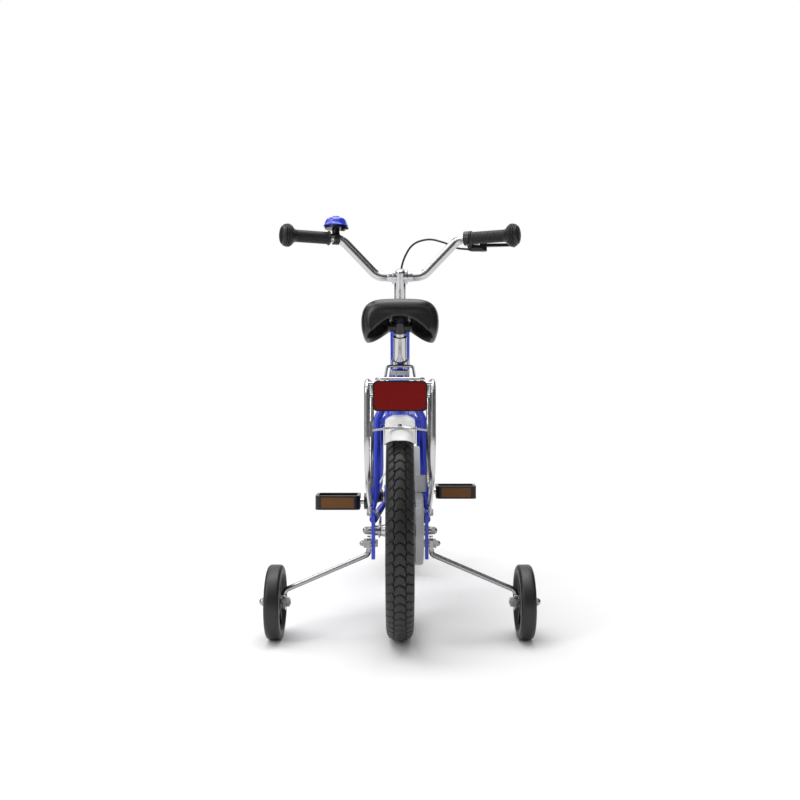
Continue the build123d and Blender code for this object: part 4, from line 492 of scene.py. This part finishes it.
def saddle():
    """A moulded saddle shell: crowned top, round shoulders, deep side lobes, an arched rear lip and an open underside."""
    rear, front = SADDLE_LOW.y + 0.0005, SADDLE_HIGH.y - 0.0005
    top, half, low = SADDLE_HIGH.z - 0.0005, SADDLE_HIGH.x - 0.0005, SADDLE_LOW.z + 0.0005
    length = front - rear
    stations = [
        (0.0, 0.80, 0.022, 0.020), (0.010, 0.88, 0.014, 0.017), (0.03, 0.94, 0.007, 0.012), (0.07, 0.98, 0.0025, 0.006),
        (0.13, 1.0, 0.001, 0.001), (0.20, 1.0, 0.0, 0.0), (0.28, 0.985, 0.0005, 0.0), (0.36, 0.92, 0.001, 0.001),
        (0.44, 0.80, 0.003, 0.004), (0.52, 0.66, 0.004, 0.010), (0.60, 0.53, 0.005, 0.017), (0.68, 0.43, 0.006, 0.023),
        (0.76, 0.355, 0.007, 0.028), (0.84, 0.30, 0.009, 0.030), (0.91, 0.26, 0.012, 0.032), (0.96, 0.22, 0.016, 0.034),
        (0.99, 0.17, 0.022, 0.037), (1.0, 0.12, 0.027, 0.040),
    ]
    columns = 48
    rows = []
    for share, width, drop, lift in stations:
        w, t, b = half * width, top - drop, low + lift
        row = []
        for k in range(columns + 1):
            turn = pi * (1 - k / columns)
            c, s = cos(turn), sin(turn)
            x = w * abs(c) ** 0.40 * (1 if c >= 0 else -1)
            z = b + (t - b) * abs(s) ** 0.5
            x *= 1 - 0.13 * (1 - abs(s) ** 0.4) ** 2.6
            z -= 0.003 * (abs(x) / half) ** 2
            y = rear + share * length + 0.012 * (abs(x) / half) ** 2.5 * (1 - share) ** 6
            row.append(Vector((x, y, z)))
        rows.append(row)
    face = []
    for r in range(4):
        row = []
        for k, point in enumerate(rows[0]):
            x = rows[0][0].x + (rows[0][-1].x - rows[0][0].x) * k / columns
            lip = rows[0][0].z + 0.028 * (1 - (abs(x) / abs(rows[0][0].x)) ** 2)
            edge = Vector((x, rear + 0.012 * (abs(x) / half) ** 2.5 + 0.002, lip))
            row.append(edge.lerp(point, r / 4))
        face.append(row)
    nose = []
    for r in range(1, 5):
        row = []
        for k, point in enumerate(rows[-1]):
            x = rows[-1][0].x + (rows[-1][-1].x - rows[-1][0].x) * k / columns
            row.append(point.lerp(Vector((x, front - 0.001, rows[-1][0].z)), r / 4))
        nose.append(row)
    thing = from_rings("saddle_cover", face + rows + nose, closed_round=False)
    work = bmesh.new()
    work.from_mesh(thing.data)
    bmesh.ops.remove_doubles(work, verts=work.verts, dist=0.00005)
    bmesh.ops.recalc_face_normals(work, faces=work.faces)
    work.faces.ensure_lookup_table()
    highest = max(work.faces, key=lambda f: f.calc_center_median().z)
    if highest.normal.z < 0:
        bmesh.ops.reverse_faces(work, faces=work.faces)
    work.to_mesh(thing.data)
    work.free()
    shell = thing.modifiers.new("shell", "SOLIDIFY")
    shell.thickness = 0.005
    shell.offset = -1
    rounding = thing.modifiers.new("round", "SUBSURF")
    rounding.levels = rounding.render_levels = 1
    bpy.ops.object.select_all(action="DESELECT")
    thing.select_set(True)
    bpy.context.view_layer.objects.active = thing
    bpy.ops.object.modifier_apply(modifier="shell")
    bpy.ops.object.modifier_apply(modifier="round")
    return thing


cover = stand_for(saddle(), ["saddle"], "seat", 50)


# Handlebar, stem, grips and bell

BAR_CENTRE = Vector((0, 0.11048, 0.739))
BAR_UPPER = Vector((0.140, 0.10648, 0.8285))
BAR_TIP = Vector((0.272, 0.05153, 0.8285))
STEER_UP = Vector((0, -0.374607, 0.927184))
STEER_AHEAD = Vector((0, 0.927184, 0.374607))


def mirrored(place):
    return Vector((-place.x, place.y, place.z))


bend = BAR_CENTRE + Vector((0.054, 0, 0))
bar_route = path([mirrored(BAR_TIP), mirrored(BAR_UPPER), mirrored(bend), bend, BAR_UPPER, BAR_TIP], 0.038)
bar = join("handlebar_polished", [
    tube("bar", bar_route, 0.0111),
    turned("bulge", BAR_CENTRE - Vector((0.030, 0, 0)), Vector((1, 0, 0)),
           [(0, 0.0108), (0.0, 0.0122), (0.001, 0.0127), (0.059, 0.0127), (0.060, 0.0122), (0.060, 0.0108)]),
])
stand_for(bar, ["handlebar"], "steering", 50)


def hexagon_bolt(name, place, heading, radius, length):
    """A bolt head with six sides, standing on a place."""
    heading = heading.normalized()
    normal = heading.orthogonal().normalized()
    other = heading.cross(normal)
    rings = []
    for t, r in ((0, radius), (length * 0.8, radius), (length, radius * 0.86)):
        rings.append([place + heading * t + (normal * cos(pi * k / 3) + other * sin(pi * k / 3)) * r for k in range(6)])
    return from_rings(name, rings, caps=True)


def stem():
    """A quill stem: its post runs up behind the bar to a domed top, with a split clamp held by one bolt ahead."""
    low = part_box("stem")[0].z
    foot = BAR_CENTRE + STEER_UP * ((low + 0.004 - BAR_CENTRE.z) / STEER_UP.z)
    post_low = BAR_CENTRE - STEER_UP * 0.0800
    back = BAR_CENTRE - STEER_AHEAD * 0.0055
    route = [post_low, post_low + STEER_UP * 0.02]
    for i in range(9):
        share = i / 8
        ease = share * share * (3 - 2 * share)
        place = post_low + STEER_UP * (0.025 + 0.035 * share)
        route.append(place - STEER_AHEAD * 0.0055 * ease)
    route.append(back + STEER_UP * 0.0115)
    radii = [0.0139] * len(route)
    for i in range(1, 8):
        turn = pi / 2 * i / 7
        route.append(back + STEER_UP * (0.0115 + 0.0075 * sin(turn)))
        radii.append(0.0139 - 0.0075 * (1 - cos(turn)) - (0.0064 if i == 7 else 0) * 0.9)
    things = [tube("post", route, radii, 56)]
    half = 0.019
    ring = [(0, 0.0127), (0, 0.0165), (0.0008, 0.0176), (0.0022, 0.0182), (2 * half - 0.0022, 0.0182),
            (2 * half - 0.0008, 0.0176), (2 * half, 0.0165), (2 * half, 0.0127)]
    things.append(turned("clamp", BAR_CENTRE - Vector((half, 0, 0)), Vector((1, 0, 0)), ring, 72))
    tilt = Matrix((Vector((1, 0, 0)), STEER_AHEAD, STEER_UP)).transposed().to_4x4()
    for up in (-0.0072, 0.0072):
        ear = block("ear", (0, 0, 0), (0.030, 0.012, 0.0105), 0.0022)
        ear.data.transform(Matrix.Translation(BAR_CENTRE + STEER_AHEAD * 0.0195 + STEER_UP * up) @ tilt)
        things.append(ear)
    screw = BAR_CENTRE + STEER_AHEAD * 0.0205
    things.append(hexagon_bolt("head", screw - STEER_UP * 0.0124, -STEER_UP, 0.0062, 0.0045))
    things.append(tube("shank", [screw - STEER_UP * 0.0124, screw + STEER_UP * 0.0150], 0.003, 20))
    things.append(tube("quill", [foot, post_low + STEER_UP * 0.0005], 0.0111, 40))
    return join("stem_polished", things)


stand_for(stem(), ["stem"], "steering", 50)


def grip(side):
    """A moulded grip: an inner flange, a ribbed barrel, a flared bell and four rings round the closed end."""
    upper, tip = (BAR_UPPER, BAR_TIP) if side > 0 else (mirrored(BAR_UPPER), mirrored(BAR_TIP))
    line = (tip - upper).normalized()
    start = upper + line * 0.02998
    profile = [(0, 0.0112), (0, 0.0160), (0.0008, 0.0170), (0.0030, 0.0170), (0.0040, 0.0160), (0.0048, 0.0146)]
    place = 0.0056
    while place < 0.0810:
        profile += [(place, 0.01452), (place + 0.0007, 0.01452), (place + 0.0010, 0.0141), (place + 0.0013, 0.0141)]
        place += 0.0016
    profile += [(0.0830, 0.0146), (0.0865, 0.0158), (0.0895, 0.0185), (0.0925, 0.0222), (0.0955, 0.0248), (0.0975, 0.0256)]
    for k in range(4):
        at = 0.0985 + k * 0.0036
        high = (0.0270, 0.0270, 0.0264, 0.0252)[k]
        profile += [(at, high - 0.0020), (at + 0.0003, high - 0.0004), (at + 0.0010, high), (at + 0.0017, high),
                    (at + 0.0024, high - 0.0004), (at + 0.0027, high - 0.0020), (at + 0.0031, high - 0.0026)]
    profile += [(0.1145, 0.0222), (0.1165, 0.0208), (0.1182, 0.0178), (0.1194, 0.0140), (0.1202, 0.0090),
                (0.1207, 0.0040), (0.1208, 0.0), (0.1150, 0.0), (0.1150, 0.0112)]
    return turned("grip_moulded", start, line, profile, 80)


stand_for(join("grips_moulded", [grip(-1), grip(1)]), ["grips"], "steering", 45)


def bell():
    """A pressed bell dome with a steep wall, a round shoulder and a small raised cap."""
    low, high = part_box("bell_dome")
    centre = Vector(((low.x + high.x) / 2, (low.y + high.y) / 2, low.z))
    r = (high.x - low.x) / 2
    top = high.z - low.z
    outer = [(0, r - 0.0003), (0.0006, r), (0.0024, r), (0.0030, r - 0.0008), (0.0090, r - 0.0030), (0.0140, r - 0.0050),
             (0.0170, r - 0.0068), (0.0192, r - 0.0098), (0.0205, r - 0.0140), (0.0212, r - 0.0180), (0.0214, 0.0098),
             (0.0220, 0.0092), (0.0236, 0.0090), (0.0244, 0.0080), (top - 0.0002, 0.0050), (top, 0.0)]
    inner = [(0.0190, 0.0), (0.0190, 0.0120), (0.0172, r - 0.0120), (0.0140, r - 0.0075), (0.0030, r - 0.0026), (0, r - 0.0020)]
    return turned("bell_dome_pressed", centre, Vector((0, 0, 1)), outer + inner, 96)


stand_for(bell(), ["bell_dome"], "steering", 50)


# Stage

def plane(name, size, place, turn, colour, strength=None):
    """A flat stage piece with a plain material; its strength is not used."""
    bpy.ops.mesh.primitive_plane_add(size=1, location=place, rotation=turn)
    thing = bpy.context.object
    thing.name = name
    thing.scale = (*size, 1)
    material = principled(name, colour, 0.9)
    thing.data.materials.append(material)
    return thing


def lamp(name, place, target, size, power, colour=(1, 1, 1)):
    """A soft rectangular lamp aimed at a point."""
    data = bpy.data.lights.new(name, "AREA")
    data.shape = "RECTANGLE"
    data.size, data.size_y = size
    data.energy = power
    data.color = colour
    thing = bpy.data.objects.new(name, data)
    thing.location = place
    thing.rotation_euler = (Vector(target) - Vector(place)).to_track_quat("-Z", "Y").to_euler()
    bpy.context.scene.collection.objects.link(thing)
    return thing


floor = plane("floor", (60, 60), (0, 0, 0), (0, 0, 0), (0.93, 0.93, 0.93))


def seen(tree):
    """One for the camera's own rays and for those mirrored or let through, else nought."""
    rays = tree.nodes.new("ShaderNodeLightPath")
    first = tree.nodes.new("ShaderNodeMath")
    first.operation = "MAXIMUM"
    second = tree.nodes.new("ShaderNodeMath")
    second.operation = "MAXIMUM"
    tree.links.new(rays.outputs["Is Camera Ray"], first.inputs[0])
    tree.links.new(rays.outputs["Is Glossy Ray"], first.inputs[1])
    tree.links.new(first.outputs[0], second.inputs[0])
    tree.links.new(rays.outputs["Is Transmission Ray"], second.inputs[1])
    return second.outputs[0]


def fade_floor(material):
    """Lets the floor pass into plain white away from the object."""
    tree = material.node_tree
    shader = tree.nodes["Principled BSDF"]
    shader.inputs["Specular IOR Level"].default_value = 0.0
    glow = tree.nodes.new("ShaderNodeEmission")
    glow.inputs["Color"].default_value = (1, 1, 1, 1)
    place = tree.nodes.new("ShaderNodeNewGeometry")
    length = tree.nodes.new("ShaderNodeVectorMath")
    length.operation = "LENGTH"
    tree.links.new(place.outputs["Position"], length.inputs[0])
    far = tree.nodes.new("ShaderNodeMapRange")
    far.interpolation_type = "SMOOTHSTEP"
    far.inputs["From Min"].default_value = 0.9
    far.inputs["From Max"].default_value = 2.2
    tree.links.new(length.outputs["Value"], far.inputs["Value"])
    both = tree.nodes.new("ShaderNodeMath")
    both.operation = "MULTIPLY"
    tree.links.new(far.outputs["Result"], both.inputs[0])
    tree.links.new(seen(tree), both.inputs[1])
    mix = tree.nodes.new("ShaderNodeMixShader")
    tree.links.new(both.outputs[0], mix.inputs["Fac"])
    tree.links.new(shader.outputs["BSDF"], mix.inputs[1])
    tree.links.new(glow.outputs["Emission"], mix.inputs[2])
    tree.links.new(mix.outputs["Shader"], tree.nodes["Material Output"].inputs["Surface"])


fade_floor(floor.data.materials[0])


def card(name, size, place, turn, shade):
    """A plain card off camera that only shapes what polished pieces mirror."""
    thing = plane(name, size, place, turn, (shade, shade, shade))
    thing.visible_camera = False
    thing.visible_diffuse = False
    thing.visible_shadow = False


card("card_behind_camera", (5.0, 3.2), (0.9, -3.0, 1.1), (pi / 2, 0, 0), 0.10)
card("card_left", (3.0, 3.0), (-2.4, 1.2, 1.1), (pi / 2, 0, radians(62)), 0.02)
card("card_left_near", (1.2, 3.0), (-2.4, -1.6, 1.1), (pi / 2, 0, radians(115)), 0.05)
card("card_right", (4.6, 3.0), (2.4, 0.2, 1.1), (pi / 2, 0, radians(-88)), 0.03)
card("card_above", (1.1, 4.5), (1.3, 0.0, 2.6), (0, radians(32), 0), 0.06)
card("card_above_left", (0.5, 4.5), (-1.1, 0.0, 2.9), (0, radians(-22), 0), 0.06)

lamp("left_light", (-1.9, -2.0, 1.7), (0, -0.2, 0.35), (0.7, 1.5), 16)
lamp("top_light", (-0.4, -0.2, 2.9), (0, 0, 0), (0.7, 2.4), 18)
sun_data = bpy.data.lights.new("sky_light", "SUN")
sun_data.energy = 1.75
sun_data.angle = radians(70)
sun = bpy.data.objects.new("sky_light", sun_data)
sun.rotation_euler = (radians(-8), radians(-10), 0)
bpy.context.scene.collection.objects.link(sun)

world = bpy.data.worlds.new("studio")
bpy.context.scene.world = world
world.use_nodes = True
tree = world.node_tree
background = tree.nodes["Background"]
background.inputs["Color"].default_value = (1, 1, 1, 1)
background.inputs["Strength"].default_value = 1.0
surround = tree.nodes.new("ShaderNodeBackground")
surround.inputs["Color"].default_value = (1, 1, 1, 1)
surround.inputs["Strength"].default_value = 0.42
choose = tree.nodes.new("ShaderNodeMixShader")
tree.links.new(seen(tree), choose.inputs["Fac"])
tree.links.new(surround.outputs["Background"], choose.inputs[1])
tree.links.new(background.outputs["Background"], choose.inputs[2])
tree.links.new(choose.outputs["Shader"], tree.nodes["World Output"].inputs["Surface"])

camera_data = bpy.data.cameras.new("camera")
camera_data.lens = CAMERA_LENS
camera_data.sensor_width = 36
camera = bpy.data.objects.new("camera", camera_data)
camera.location = (0, REAR.y - CAMERA_DISTANCE, CAMERA_HEIGHT)
camera.rotation_euler = (pi / 2, 0, 0)
bpy.context.scene.collection.objects.link(camera)
bpy.context.scene.camera = camera
bpy.context.scene.view_settings.view_transform = "Standard"
